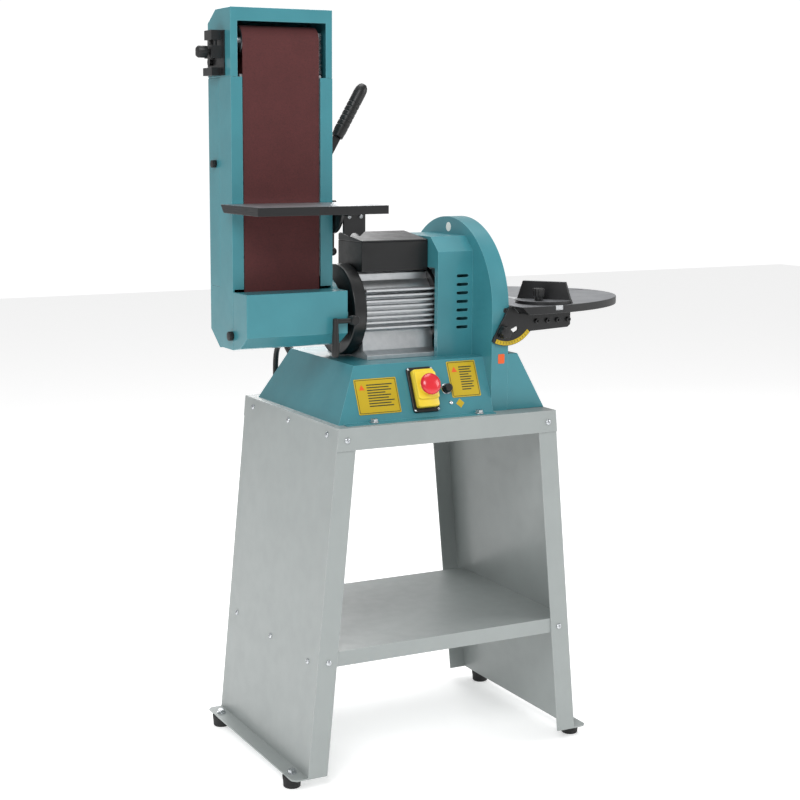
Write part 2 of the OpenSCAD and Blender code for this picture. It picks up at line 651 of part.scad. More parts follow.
// ---------- belt table, tilting on a pin in the arm ----------
belt_table_top = 1061;
belt_table_low = belt_table_top - belt_table_t;
belt_table_back = -58;
module belt_table() color("#8C8E91") slab_x(-388, -138)
    polygon([[-reach_side, belt_table_low], [-reach_side, belt_table_top], [belt_table_back, belt_table_top],
             [belt_table_back, belt_table_top - 2], [belt_table_back - belt_table_t + 2, belt_table_low]]);
module belt_table_bracket() color("#232526") {
    x0 = arm_right + 3;
    x1 = x0 + 5;
    slab_x(x0, x1) difference() {
        union() {
            intersection() {
                translate(belt_pivot) circle(r = 48);
                translate([-100, 950]) square([120, belt_table_low - 950]);
            }
            polygon([[-57, belt_table_low], [-57, belt_table_top - 4], [-50, belt_table_top + 3],
                     [-26, belt_table_top + 3], [-20, belt_table_low]]);
            polygon([[-120, belt_table_low - 8], [-120, belt_table_low], [-80, belt_table_low], [-80, belt_table_low - 8]]);
        }
        lock_slot(belt_pivot, belt_lock_r, 4.3, belt_lock_from - 45, belt_lock_from);
    }
    rod_x(arm_right - skin, x0, hinge_pin_r, belt_pivot[0], belt_pivot[1]);
    // arched flange under the table's edge
    slab_y(-84, -78) difference() {
        polygon([[x1, belt_table_low], [x1, 1004], [-146, 999], [-122, 999], [-112, 1008], [-112, belt_table_low]]);
        translate([-134, 995]) circle(r = 10);
    }
}
module belt_table_lock() color("#1D1E1F") {
    x0 = arm_right + 9;
    rod_x(arm_right - 6, x0 + 2, lock_hole_r - run, belt_lock_at[0], belt_lock_at[1]);
    rod_x(x0, x0 + 15, 8.5, belt_lock_at[0], belt_lock_at[1]);
    rod_z(belt_lock_at[1] - 56, belt_lock_at[1], 4, x0 + 8, belt_lock_at[0]);
    translate([x0 + 8, belt_lock_at[0], belt_lock_at[1] - 58]) sphere(r = 8);
}

// ---------- mains cord ----------
cord_r = 5.5;
gland_len = 40;
// route behind the stand, from the gland's tip down to the floor and to the coil
cord_route = [
    [-152, 181.8, 765.8], [-152, 190, 769], [-152, 203, 771], [-152, 216, 767], [-152, 228, 757],
    [-152, 235, 742], [-152, 238, 722], [-152, 238, 690], [-152, 238, 640], [-152, 238, 590],
    [-152, 238, 540], [-152, 238, 490], [-152, 238, 440], [-152, 238, 390], [-152, 238, 340],
    [-152, 238, 290], [-152, 238, 240], [-152, 238, 190], [-152, 238, 140], [-152, 238, 95],
    [-152, 239, 66], [-151, 243, 42], [-150, 252, 24], [-149, 266, 12], [-148, 283, 7],
    [-147, 300, 5.6], [-147, 320, 5.5]];
coil_mid_r = 60;
coil_half = 11;
coil_h = 22.2;
coil_at = [-147 + coil_mid_r + cord_r, 320];
cord_sides = 10;

// length of a route point's step, and rings square to the route
function along(p, i) = let (a = p[max(i - 1, 0)], b = p[min(i + 1, len(p) - 1)]) (b - a) / norm(b - a);
function ring(p, d) = let (u = [1, 0, 0] - d[0] * d, v = u / norm(u), w = cross(d, v))
    [for (k = [0:cord_sides - 1]) p + cord_r * (cos(360 * k / cord_sides) * v + sin(360 * k / cord_sides) * w)];
module tube(p) {
    n = len(p);
    s = cord_sides;
    polyhedron(
        points = [for (i = [0:n - 1]) each ring(p[i], i == 0 ? [0, 0.9187, 0.395] : along(p, i))],
        faces = concat([[for (k = [0:s - 1]) k]],
                       [for (i = [0:n - 2], k = [0:s - 1])
                           [i * s + k, (i + 1) * s + k, (i + 1) * s + (k + 1) % s, i * s + (k + 1) % s]],
                       [[for (k = [s - 1:-1:0]) (n - 1) * s + k]]));
}
module cord_gland() color("#1D1E1F") on_back(gland_at[0], gland_at[1]) {
    cylinder(h = 9, r = 12, $fn = 6);
    translate([0, 0, 9]) cylinder(h = gland_len - 9, r1 = 9, r2 = 6.5);
}
module power_cord() color("#1D1E1F") tube(cord_route);
module cord_coil() color("#1D1E1F") translate([coil_at[0], coil_at[1], 0]) rotate_extrude()
    translate([coil_mid_r - coil_half, 0]) square([2 * coil_half, coil_h]);
plug_axis_z = coil_h - cord_r;
module power_plug() color("#1D1E1F") translate([coil_at[0] + 38, coil_at[1] + coil_mid_r, plug_axis_z]) {
    rotate([0, 90, 0]) cylinder(h = 30, r1 = 6.5, r2 = 9);
    block([30, -18, -plug_axis_z], [78, 18, plug_axis_z]);
}

module placed() translate([-centre_x, 0, 0]) children();
placed() stand_left_panel();
placed() stand_right_panel();
placed() stand_top();
placed() stand_shelf();
placed() rubber_feet();
placed() hex_bolts();
placed() stand_screws();
placed() machine_base();
placed() label_plates();
placed() switch_box();
placed() stop_button();
placed() reset_button();
placed() motor_body();
placed() pivot_end_shield();
placed() fan_end_shield();
placed() stator();
placed() rotor_core();
placed() motor_shaft();
placed() bearings();
placed() cooling_fan();
placed() terminal_box();
placed() terminal_box_lid();
placed() motor_shroud();
placed() disc_housing();
placed() dust_chute();
placed() disc_dust_port();
placed() disc_plate();
placed() sanding_disc();
placed() disc_table();
placed() table_trunnions();
placed() tilt_scale();
placed() table_lock_knob();
placed() mitre_bar();
placed() mitre_head();
placed() mitre_knob();
placed() arm_frame();
placed() platen();
placed() sanding_belt();
placed() drive_drum();
placed() idler_roller();
placed() idler_carriage();
placed() tension_spring();
placed() tension_base();
placed() tension_lever();
placed() lever_grip();
placed() rear_cover();
placed() cover_knobs();
placed() top_cap();
placed() lower_hood();
placed() belt_dust_port();
placed() tracking_bracket();
placed() tracking_knob();
placed() arm_clamp_lever();
placed() belt_table();
placed() belt_table_bracket();
placed() belt_table_lock();
placed() cord_gland();
placed() power_cord();
placed() cord_coil();
placed() power_plug();
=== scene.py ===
import json
import math

import bmesh
import bpy
from mathutils import Matrix, Vector


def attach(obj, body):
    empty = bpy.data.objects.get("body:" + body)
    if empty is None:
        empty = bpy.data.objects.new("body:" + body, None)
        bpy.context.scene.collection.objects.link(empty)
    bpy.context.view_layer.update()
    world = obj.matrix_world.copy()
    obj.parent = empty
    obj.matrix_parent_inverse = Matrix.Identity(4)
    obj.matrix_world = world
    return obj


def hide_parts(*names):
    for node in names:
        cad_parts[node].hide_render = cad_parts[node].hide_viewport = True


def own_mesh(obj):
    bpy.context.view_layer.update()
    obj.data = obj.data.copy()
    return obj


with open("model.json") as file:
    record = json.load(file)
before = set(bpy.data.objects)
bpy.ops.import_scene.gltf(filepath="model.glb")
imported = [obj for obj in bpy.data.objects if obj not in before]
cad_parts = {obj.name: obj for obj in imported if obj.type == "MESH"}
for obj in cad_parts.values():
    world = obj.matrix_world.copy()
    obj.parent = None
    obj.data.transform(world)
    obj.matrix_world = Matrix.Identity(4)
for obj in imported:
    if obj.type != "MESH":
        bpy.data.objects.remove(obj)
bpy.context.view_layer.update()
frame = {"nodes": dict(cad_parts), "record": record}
print("frame loaded:", len(frame["nodes"]), "nodes")

mm = 0.001
centreX = 35  # the CAD origin stands this far right of the stand's middle, in mm


# a point given in mm from the stand's middle, as the design draws it
def at(x, y, z):
    return Vector(((x - centreX) * mm, y * mm, z * mm))


# camera and light; every place in the studio is in metres
camera = {"target": (-128.5, 0, 711.7), "azimuth": -26.2, "elevation": 8.8, "distance": 3.0218,
          "lens": 70.97, "shiftX": 0.0784, "shiftY": -0.0198}


def setCamera(spec):
    around, up = math.radians(spec["azimuth"]), math.radians(spec["elevation"])
    back = Vector((math.sin(around) * math.cos(up), -math.cos(around) * math.cos(up), math.sin(up)))
    data = bpy.data.cameras.new("camera")
    data.lens, data.sensor_width = spec["lens"], 36
    data.shift_x, data.shift_y = spec["shiftX"], spec["shiftY"]
    data.clip_start, data.clip_end = 0.05, 60
    eye = bpy.data.objects.new("camera", data)
    bpy.context.scene.collection.objects.link(eye)
    eye.location = at(*spec["target"]) + back * spec["distance"]
    eye.rotation_euler = (-back).to_track_quat("-Z", "Y").to_euler()
    bpy.context.scene.camera = eye


studio = {
    "keyPanel": {"place": (-2.2, -2.6, 2.9), "aim": (0, 0, 0.8), "size": 1.7, "power": 84},
    "sidePanel": {"place": (3.2, -1.8, 1.9), "aim": (0, 0, 0.8), "size": 1.6, "power": 34},
    "topPanel": {"place": (0.2, 0.4, 3.6), "aim": (0, 0, 0.8), "size": 2.0, "power": 52},
    "backPanel": {"place": (0.6, 3.0, 2.2), "aim": (0, 0, 0.9), "size": 1.6, "power": 40},
}


def setStudio():
    for name, spec in studio.items():
        light = bpy.data.lights.new(name, "AREA")
        light.shape, light.size, light.energy = "SQUARE", spec["size"], spec["power"]
        lamp = bpy.data.objects.new(name, light)
        lamp.location = spec["place"]
        lamp.rotation_euler = (Vector(spec["aim"]) - lamp.location).to_track_quat("-Z", "Y").to_euler()
        bpy.context.scene.collection.objects.link(lamp)
    world = bpy.data.worlds.new("studio")
    bpy.context.scene.world = world
    world.use_nodes = True
    tree = world.node_tree
    # the backdrop is seen brighter than it lights
    seen = tree.nodes.new("ShaderNodeLightPath")
    strength = tree.nodes.new("ShaderNodeMapRange")
    tree.links.new(seen.outputs["Is Camera Ray"], strength.inputs["Value"])
    strength.inputs["To Min"].default_value = 0.5
    strength.inputs["To Max"].default_value = 1.05
    tree.nodes["Background"].inputs["Color"].default_value = (1, 1, 1, 1)
    tree.links.new(strength.outputs["Result"], tree.nodes["Background"].inputs["Strength"])
    bpy.context.scene.view_settings.view_transform = "Standard"


setCamera(camera)
setStudio()
print("camera and studio set")


# materials
def linear(code, alpha=1.0):
    parts = [int(code[i:i + 2], 16) / 255 for i in (1, 3, 5)]
    return tuple(c / 12.92 if c <= 0.04045 else ((c + 0.055) / 1.055) ** 2.4 for c in parts) + (alpha,)


def addNode(tree, kind, inputs=None, **settings):
    node = tree.nodes.new(kind)
    for key, value in settings.items():
        setattr(node, key, value)
    for key, value in (inputs or {}).items():
        if isinstance(value, bpy.types.NodeSocket):
            tree.links.new(value, node.inputs[key])
        else:
            node.inputs[key].default_value = value
    return node


def newMaterial(name):
    made = bpy.data.materials.new(name)
    made.use_nodes = True
    tree = made.node_tree
    shader = tree.nodes["Principled BSDF"]
    place = addNode(tree, "ShaderNodeTexCoord").outputs["Object"]
    return made, tree, shader, place


def scaleFor(sizeMm):
    return 1 / (sizeMm * mm)


# a value spread from one range to another
def between(tree, value, fromMin, fromMax, toMin, toMax):
    return addNode(tree, "ShaderNodeMapRange", {"Value": value, "From Min": fromMin, "From Max": fromMax,
                                                "To Min": toMin, "To Max": toMax})


def raisedBy(tree, height, strength, depthMm):
    return addNode(tree, "ShaderNodeBump",
                   {"Height": height, "Strength": strength, "Distance": depthMm * mm})


# two colours mixed by a noise whose spots are sizeMm across
def mottle(tree, place, colourA, colourB, sizeMm, low=0.35, high=0.65, detail=3.0):
    noise = addNode(tree, "ShaderNodeTexNoise",
                    {"Vector": place, "Scale": scaleFor(sizeMm), "Detail": detail})
    span = addNode(tree, "ShaderNodeMapRange",
                   {"Value": noise.outputs["Fac"], "From Min": low, "From Max": high})
    mix = addNode(tree, "ShaderNodeMix", {"Factor": span.outputs["Result"]}, data_type="RGBA")
    mix.inputs["A"].default_value, mix.inputs["B"].default_value = linear(colourA), linear(colourB)
    return mix.outputs["Result"]


# 1 on edges and corners, 0 on open faces
def edgeMask(tree, reachMm):
    soft = addNode(tree, "ShaderNodeBevel", {"Radius": reachMm * mm}, samples=4)
    flat = addNode(tree, "ShaderNodeNewGeometry")
    match = addNode(tree, "ShaderNodeVectorMath", {0: soft.outputs["Normal"], 1: flat.outputs["Normal"]},
                    operation="DOT_PRODUCT")
    return addNode(tree, "ShaderNodeMapRange", {"Value": match.outputs["Value"], "From Min": 0.995,
                                                "From Max": 0.86}).outputs["Result"]


# sprayed or moulded finishes: base and shade colours, a lighter edge colour that is a painted edge highlight
# and partly stands for wear, roughness, texture size and depth in mm
finishes = {
    # powder-coated sheet steel: an even orange peel of about 1 mm, softly glossy
    "tealEnamel": {
        "base": "#3A808A", "shade": "#377B85", "edge": "#7FBCC4",
        "rough": (0.3, 0.38), "grain": 1.3, "depth": 0.05, "coat": 0.25, "wearAndHighlight": 0.9},
    # the same coat in light grey on the stand
    "greyEnamel": {
        "base": "#949A99", "shade": "#919796", "edge": "#C2C7C6",
        "rough": (0.36, 0.46), "grain": 1.1, "depth": 0.05, "coat": 0.15, "wearAndHighlight": 0.8},
    # black enamel on castings: the sand texture shows through at 2 to 3 mm
    "blackEnamel": {
        "base": "#0F1012", "shade": "#0B0C0D", "edge": "#36383B",
        "rough": (0.34, 0.46), "grain": 2.4, "depth": 0.12, "coat": 0.1, "wearAndHighlight": 0.7},
    # moulded black plastic with a fine spark texture
    "blackPlastic": {
        "base": "#0D0E0F", "shade": "#090A0B", "edge": "#232527",
        "rough": (0.4, 0.5), "grain": 0.7, "depth": 0.06, "coat": 0.0, "wearAndHighlight": 0.5},
    # yellow ABS, nearly smooth
    "yellowPlastic": {
        "base": "#E8CF3A", "shade": "#DFC22C", "edge": "#F3E27C",
        "rough": (0.28, 0.36), "grain": 0.8, "depth": 0.03, "coat": 0.2, "wearAndHighlight": 0.4},
    # red ABS, glossy from handling
    "redPlastic": {
        "base": "#D2222E", "shade": "#C01B27", "edge": "#EE6A70",
        "rough": (0.2, 0.28), "grain": 0.8, "depth": 0.03, "coat": 0.3, "wearAndHighlight": 0.3},
    # moulded rubber, dull, with lighter edges that are partly dust and partly a painted edge highlight
    "blackRubber": {
        "base": "#1A1A1B", "shade": "#121213", "edge": "#3A3A3A",
        "rough": (0.62, 0.75), "grain": 0.9, "depth": 0.1, "coat": 0.0, "wearAndHighlight": 0.6},
    # PVC sheath, satin
    "cordPvc": {
        "base": "#161617", "shade": "#101011", "edge": "#262627",
        "rough": (0.42, 0.5), "grain": 1.5, "depth": 0.04, "coat": 0.0, "wearAndHighlight": 0.2},
}


def coated(name, spec):
    made, tree, shader, place = newMaterial(name)
    body = mottle(tree, place, spec["base"], spec["shade"], 60)
    # every edge and corner takes a lighter tint of the finish: a painted edge highlight that partly stands
    # for worn paint
    wornAndLit = addNode(tree, "ShaderNodeMath", {0: edgeMask(tree, 1.2), 1: spec["wearAndHighlight"] * 0.6},
                   operation="MULTIPLY")
    mix = addNode(tree, "ShaderNodeMix", {"Factor": wornAndLit.outputs[0], "A": body}, data_type="RGBA")
    mix.inputs["B"].default_value = linear(spec["edge"])
    rubbed = addNode(tree, "ShaderNodeTexNoise", {"Vector": place, "Scale": scaleFor(25), "Detail": 4})
    rough = between(tree, rubbed.outputs["Fac"], 0.35, 0.65, *spec["rough"])
    peel = addNode(tree, "ShaderNodeTexNoise",
                   {"Vector": place, "Scale": scaleFor(spec["grain"]), "Detail": 2})
    bump = raisedBy(tree, peel.outputs["Fac"], 0.35, spec["depth"])
    tree.links.new(mix.outputs["Result"], shader.inputs["Base Color"])
    tree.links.new(rough.outputs["Result"], shader.inputs["Roughness"])
    tree.links.new(bump.outputs["Normal"], shader.inputs["Normal"])
    shader.inputs["Coat Weight"].default_value = spec["coat"]
    shader.inputs["Coat Roughness"].default_value = 0.15
    return made


# bare metals: colour, roughness, and the size and stretch of the marks that the tool left
metals = {
    # sand-cast aluminium, tumbled: a fine grey sparkle
    "castAluminium": {
        "base": "#D6D8DA", "shade": "#CDD0D2", "rough": (0.36, 0.46),
        "marks": 1.2, "stretch": (1, 1, 1)},
    # bright zinc on steel fasteners, faintly blotched
    "zincSteel": {
        "base": "#D3D6D8", "shade": "#B9BDC1", "rough": (0.2, 0.32),
        "marks": 4, "stretch": (1, 1, 1)},
    # turned steel: rings round the X axis
    "turnedSteel": {
        "base": "#B9BCBF", "shade": "#9A9EA1", "rough": (0.24, 0.36),
        "marks": 0.8, "stretch": (1, 0.05, 0.05)},
    # copper windings under brown varnish
    "windingCopper": {
        "base": "#8A4A24", "shade": "#5E2F16", "rough": (0.3, 0.45),
        "marks": 1.5, "stretch": (0.1, 1, 1)},
}


def bareMetal(name, spec):
    made, tree, shader, place = newMaterial(name)
    turned = addNode(tree, "ShaderNodeMapping", {"Vector": place, "Scale": spec["stretch"]})
    body = mottle(tree, place, spec["base"], spec["shade"], 12)
    marks = addNode(tree, "ShaderNodeTexNoise",
                    {"Vector": turned.outputs["Vector"], "Scale": scaleFor(spec["marks"]), "Detail": 4})
    rough = between(tree, marks.outputs["Fac"], 0.3, 0.7, *spec["rough"])
    bump = raisedBy(tree, marks.outputs["Fac"], 0.3, 0.05)
    tree.links.new(body, shader.inputs["Base Color"])
    tree.links.new(rough.outputs["Result"], shader.inputs["Roughness"])
    tree.links.new(bump.outputs["Normal"], shader.inputs["Normal"])
    shader.inputs["Metallic"].default_value = 1.0
    return made


# ground cast iron: planed bright on top, black enamel on its sides and underside
def groundIron(name, grindAlong):
    made, tree, shader, place = newMaterial(name)
    face = addNode(tree, "ShaderNodeNewGeometry")
    tilt = addNode(tree, "ShaderNodeSeparateXYZ", {0: face.outputs["True Normal"]})
    onTop = between(tree, tilt.outputs["Z"], 0.9, 0.97, 0, 1)
    stretch = addNode(tree, "ShaderNodeMapping", {"Vector": place, "Scale": grindAlong})
    lines = addNode(tree, "ShaderNodeTexNoise",
                    {"Vector": stretch.outputs["Vector"], "Scale": scaleFor(1.4), "Detail": 5})
    bright = mottle(tree, place, "#A3A5A8", "#96989C", 35)
    mix = addNode(tree, "ShaderNodeMix", {"Factor": onTop.outputs["Result"], "B": bright}, data_type="RGBA")
    mix.inputs["A"].default_value = linear("#0E0F11")
    rough = between(tree, lines.outputs["Fac"], 0.3, 0.7, 0.34, 0.52)
    bump = raisedBy(tree, lines.outputs["Fac"], 0.25, 0.04)
    tree.links.new(mix.outputs["Result"], shader.inputs["Base Color"])
    tree.links.new(onTop.outputs["Result"], shader.inputs["Metallic"])
    tree.links.new(rough.outputs["Result"], shader.inputs["Roughness"])
    tree.links.new(bump.outputs["Normal"], shader.inputs["Normal"])
    return made


# aluminium-oxide cloth, P80: red-brown resin with darker grains, drawn at 0.9 mm so that it shows
def abrasiveCloth(name):
    made, tree, shader, place = newMaterial(name)
    grains = addNode(tree, "ShaderNodeTexVoronoi", {"Vector": place, "Scale": scaleFor(0.9)})
    patch = addNode(tree, "ShaderNodeTexNoise", {"Vector": place, "Scale": scaleFor(45), "Detail": 3})
    mix = addNode(tree, "ShaderNodeMix", {"Factor": grains.outputs["Distance"]}, data_type="RGBA")
    mix.inputs["A"].default_value, mix.inputs["B"].default_value = linear("#632B2C"), linear("#3B1819")
    dull = addNode(tree, "ShaderNodeMix", {"Factor": patch.outputs["Fac"], "A": mix.outputs["Result"]},
                   data_type="RGBA", blend_type="MULTIPLY")
    dull.inputs["B"].default_value = linear("#D9CFCB")
    bump = raisedBy(tree, grains.outputs["Distance"], 0.6, 0.25)
    tree.links.new(dull.outputs["Result"], shader.inputs["Base Color"])
    tree.links.new(bump.outputs["Normal"], shader.inputs["Normal"])
    shader.inputs["Roughness"].default_value = 0.85
    return made


# printed film: an even ground colour with a faint laminate texture
def printedFilm(name, ground):
    made, tree, shader, place = newMaterial(name)
    body = mottle(tree, place, ground, ground, 20)
    film = addNode(tree, "ShaderNodeTexNoise", {"Vector": place, "Scale": scaleFor(3), "Detail": 2})
    bump = raisedBy(tree, film.outputs["Fac"], 0.2, 0.04)
    tree.links.new(body, shader.inputs["Base Color"])
    tree.links.new(bump.outputs["Normal"], shader.inputs["Normal"])
    shader.inputs["Roughness"].default_value = 0.35
    return made


look = {name: coated(name, spec) for name, spec in finishes.items()}
look.update({name: bareMetal(name, spec) for name, spec in metals.items()})
look["tableIron"] = groundIron("tableIron", (0.06, 1, 1))
look["restIron"] = groundIron("restIron", (1, 0.06, 1))
look["abrasiveCloth"] = abrasiveCloth("abrasiveCloth")
# grounds of the printed labels
films = {"yellowFilm": "#B79C12", "darkFilm": "#27321F", "orangeFilm": "#D8591E", "whiteFilm": "#E9E8E2"}
for filmName, ground in films.items():
    look[filmName] = printedFilm(filmName, ground)
print("materials made:", len(look))


# the body that each CAD node rides on
bodyFor = {node: body for body, nodes in frame["record"]["behaviour"]["bodies"].items() for node in nodes}


def link(name, mesh, material):
    piece = bpy.data.objects.new(name, mesh)
    bpy.context.scene.collection.objects.link(piece)
    mesh.materials.clear()
    mesh.materials.append(look[material])
    return piece


def shade(mesh, angle=32):
    for face in mesh.polygons:
        face.use_smooth = True
    mesh.set_sharp_from_angle(angle=math.radians(angle))


# applies a piece's modifiers and leaves a plain mesh
def settle(piece):
    graph = bpy.context.evaluated_depsgraph_get()
    mesh = bpy.data.meshes.new_from_object(piece.evaluated_get(graph))
    piece.modifiers.clear()
    piece.data = mesh
    return piece


# a CAD node as sheet metal or moulding really is: with its edges rolled over by a small radius
def rolledEdge(node, material, radius, segments=2):
    mesh = frame["nodes"][node].data.copy()
    form = bmesh.new()
    form.from_mesh(mesh)
    bmesh.ops.remove_doubles(form, verts=form.verts, dist=0.02 * mm)
    bmesh.ops.dissolve_limit(form, angle_limit=math.radians(1.0), verts=form.verts, edges=form.edges)
    form.to_mesh(mesh)
    form.free()
    piece = link(node + "_skin", mesh, material)
    roll = piece.modifiers.new("roll", "BEVEL")
    roll.width, roll.segments, roll.limit_method = radius * mm, segments, "ANGLE"
    roll.angle_limit, roll.use_clamp_overlap, roll.harden_normals = math.radians(32), True, True
    shade(mesh)
    settle(piece)
    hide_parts(node)
    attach(piece, bodyFor[node])
    return piece


# turns Z to an axis
def turnedTo(axis):
    return Vector(axis).to_track_quat("Z", "Y").to_matrix().to_4x4()


# a point on a circle, by its angle in degrees
def onCircle(radius, degrees):
    return radius * math.cos(math.radians(degrees)), radius * math.sin(math.radians(degrees))


# a closed turned shape: pairs of radius and height in mm, spun about the axis through a point
def turned(name, profile, base, axis, material, steps=40):
    form = bmesh.new()
    rings = []
    for radius, height in profile:
        if radius < 1e-6:
            rings.append([form.verts.new((0, 0, height * mm))])
        else:
            rings.append([form.verts.new((radius * mm * math.cos(2 * math.pi * k / steps),
                                          radius * mm * math.sin(2 * math.pi * k / steps), height * mm))
                          for k in range(steps)])
    for low, high in zip(rings, rings[1:]):
        for k in range(steps):
            n = k + 1
            corners = [low[k % len(low)], low[n % len(low)], high[n % len(high)], high[k % len(high)]]
            form.faces.new(list(dict.fromkeys(corners)))
    if len(rings[0]) > 1:
        form.faces.new(list(reversed(rings[0])))
    if len(rings[-1]) > 1:
        form.faces.new(rings[-1])
    bmesh.ops.recalc_face_normals(form, faces=form.faces)
    mesh = bpy.data.meshes.new(name)
    form.to_mesh(mesh)
    form.free()
    mesh.transform(Matrix.Translation(base) @ turnedTo(axis))
    shade(mesh)
    return link(name, mesh, material)


# a flat outline in mm raised to a thickness, placed by a matrix, its edges rounded
def raised(name, outline, thick, place, material, radius=0.4):
    form = bmesh.new()
    low = [form.verts.new((x * mm, y * mm, 0)) for x, y in outline]
    high = [form.verts.new((x * mm, y * mm, thick * mm)) for x, y in outline]
    form.faces.new(list(reversed(low)))
    form.faces.new(high)
    for k in range(len(low)):
        n = (k + 1) % len(low)
        form.faces.new([low[k], low[n], high[n], high[k]])
    bmesh.ops.recalc_face_normals(form, faces=form.faces)
    mesh = bpy.data.meshes.new(name)
    form.to_mesh(mesh)
    form.free()
    mesh.transform(place)
    shade(mesh)
    piece = link(name, mesh, material)
    if radius:
        roll = piece.modifiers.new("roll", "BEVEL")
        roll.width, roll.segments, roll.limit_method = radius * mm, 2, "ANGLE"
        roll.angle_limit, roll.use_clamp_overlap = math.radians(35), True
        settle(piece)
    return piece


def roundedBox(width, height, corner, steps=5):
    w, h = width / 2 - corner, height / 2 - corner
    outline = []
    for cx, cy, start in ((w, -h, -90), (w, h, 0), (-w, h, 90), (-w, -h, 180)):
        for k in range(steps + 1):
            angle = math.radians(start + 90 * k / steps)
            outline.append((cx + corner * math.cos(angle), cy + corner * math.sin(angle)))
    return outline


# several finished meshes of one material become one piece
def joined(name, pieces):
    form = bmesh.new()
    for piece in pieces:
        form.from_mesh(piece.data)
    mesh = bpy.data.meshes.new(name)
    form.to_mesh(mesh)
    form.free()
    material = pieces[0].data.materials[0].name
    for piece in pieces:
        bpy.data.objects.remove(piece)
    shade(mesh)
    return link(name, mesh, material)


# mains cord: a stretch chosen point by point, then a coil worked out by its turns
cord = {"diameter": 11, "stretch": [
    (-152, 181.8, 765.8), (-152, 190, 769), (-152, 203, 771), (-152, 216, 767), (-152, 228, 757),
    (-152, 235, 742), (-152, 238, 722), (-152, 238, 690), (-152, 238, 640), (-152, 238, 590),
    (-152, 238, 540), (-152, 238, 490), (-152, 238, 440), (-152, 238, 390), (-152, 238, 340),
    (-152, 238, 290), (-152, 238, 240), (-152, 238, 190), (-152, 238, 140), (-152, 238, 95),
    (-152, 239, 66), (-151, 243, 42), (-150, 252, 24), (-149, 266, 12), (-148, 283, 7),
    (-147, 300, 5.6), (-147, 320, 5.5)],
    "coilCentre": (-81.5, 320), "outer": 65.5, "inner": 54.5, "upper": 60, "lift": 11.1,
    "turned": 810, "step": 15, "tail": 44}


def ease(low, high, value):
    part = min(1, max(0, (value - low) / (high - low)))
    return part * part * (3 - 2 * part)


def coilPoint(turnedBy):
    radius = cord["outer"] - (cord["outer"] - cord["inner"]) * ease(280, 330, turnedBy)
    radius += (cord["upper"] - cord["inner"]) * ease(590, 640, turnedBy)
    height = cord["diameter"] / 2 + cord["lift"] * ease(560, 610, turnedBy)
    along, across = onCircle(radius, 180 - turnedBy)
    return cord["coilCentre"][0] + along, cord["coilCentre"][1] + across, height


def makeCord():
    turns = range(cord["step"], cord["turned"] + 1, cord["step"])
    points = cord["stretch"] + [coilPoint(turn) for turn in turns]
    end = points[-1]
    points += [(end[0] + cord["tail"] * part, end[1], end[2]) for part in (0.35, 0.7, 1)]
    length = sum((Vector(a) - Vector(b)).length for a, b in zip(points, points[1:])) * mm
    curve = bpy.data.curves.new("mains_cord", "CURVE")
    curve.dimensions, curve.bevel_depth, curve.bevel_resolution = "3D", cord["diameter"] / 2 * mm, 5
    curve.resolution_u, curve.use_fill_caps = 4, True
    line = curve.splines.new("NURBS")
    line.points.add(len(points) - 1)
    for knot, place in zip(line.points, points):
        knot.co = (*at(*place), 1)
    line.order_u, line.use_endpoint_u = 3, True
    piece = bpy.data.objects.new("mains_cord", curve)
    bpy.context.scene.collection.objects.link(piece)
    curve.materials.append(look["cordPvc"])
    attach(piece, "machine")
    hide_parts("power_cord", "cord_coil")
    return piece, length


# a moulded plug with a ribbed strain relief, lying beside the coil
plug = {"reliefAt": 38, "shellAt": 54, "long": 48, "high": 33, "wide": 32, "corner": 8, "lower": 0.1,
        "relief": [(5.8, 0), (6.4, 0.6), (6.5, 4), (5.9, 5), (5.9, 6.5), (6.9, 7.5), (7, 11), (6.3, 12),
                   (6.3, 13.5), (7.5, 14.5), (7.7, 18), (6.9, 19), (6.9, 20.5), (8.2, 21.5), (8.6, 30)]}


def makePlug():
    start = at(*coilPoint(cord["turned"])) + Vector((plug["reliefAt"] * mm, 0, 0))
    relief = turned("plug_relief", plug["relief"], start, (1, 0, 0), "cordPvc")
    middle = start + Vector((plug["shellAt"], -plug["wide"] / 2, -plug["lower"])) * mm
    place = Matrix.Translation(middle) @ Matrix.Rotation(math.radians(-90), 4, "X")
    outline = roundedBox(plug["long"], plug["high"], plug["corner"])
    shell = raised("plug_shell", outline, plug["wide"], place, "cordPvc", 3.0)
    piece = joined("mains_plug", [relief, shell])
    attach(piece, "machine")
    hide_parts("power_plug")
    return piece


# the base's sheets lean in by this much for each mm of height
baseSlope = 0.43
gland = {"long": 40, "nutRadius": 12, "nutHigh": 8,
         "sleeve": [(9.5, 8), (9.4, 12), (8.2, 13), (8.2, 15), (9, 16), (8.7, 20), (7.5, 21), (7.5, 23),
                    (8.2, 24), (7.8, 28), (6.8, 29), (6.8, 31), (7.4, 32), (7, 36), (6.2, 38), (5.8, 39.5)]}


def makeGland():
    lean = math.atan(baseSlope)
    normal = Vector((0, math.cos(lean), math.sin(lean)))
    base = at(*cord["stretch"][0]) - normal * gland["long"] * mm
    hexagon = [onCircle(gland["nutRadius"], 60 * k) for k in range(6)]
    place = Matrix.Translation(base) @ turnedTo(normal)
    nut = raised("gland_nut", hexagon, gland["nutHigh"], place, "cordPvc", 0.8)
    sleeve = turned("gland_sleeve", gland["sleeve"], base, normal, "cordPvc")
    piece = joined("cord_gland_sleeve", [nut, sleeve])
    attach(piece, "machine")
    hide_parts("cord_gland")
    return piece


mainsCord, cordLength = makeCord()
makePlug()
makeGland()
print("mains cord:", round(cordLength, 3), "m")


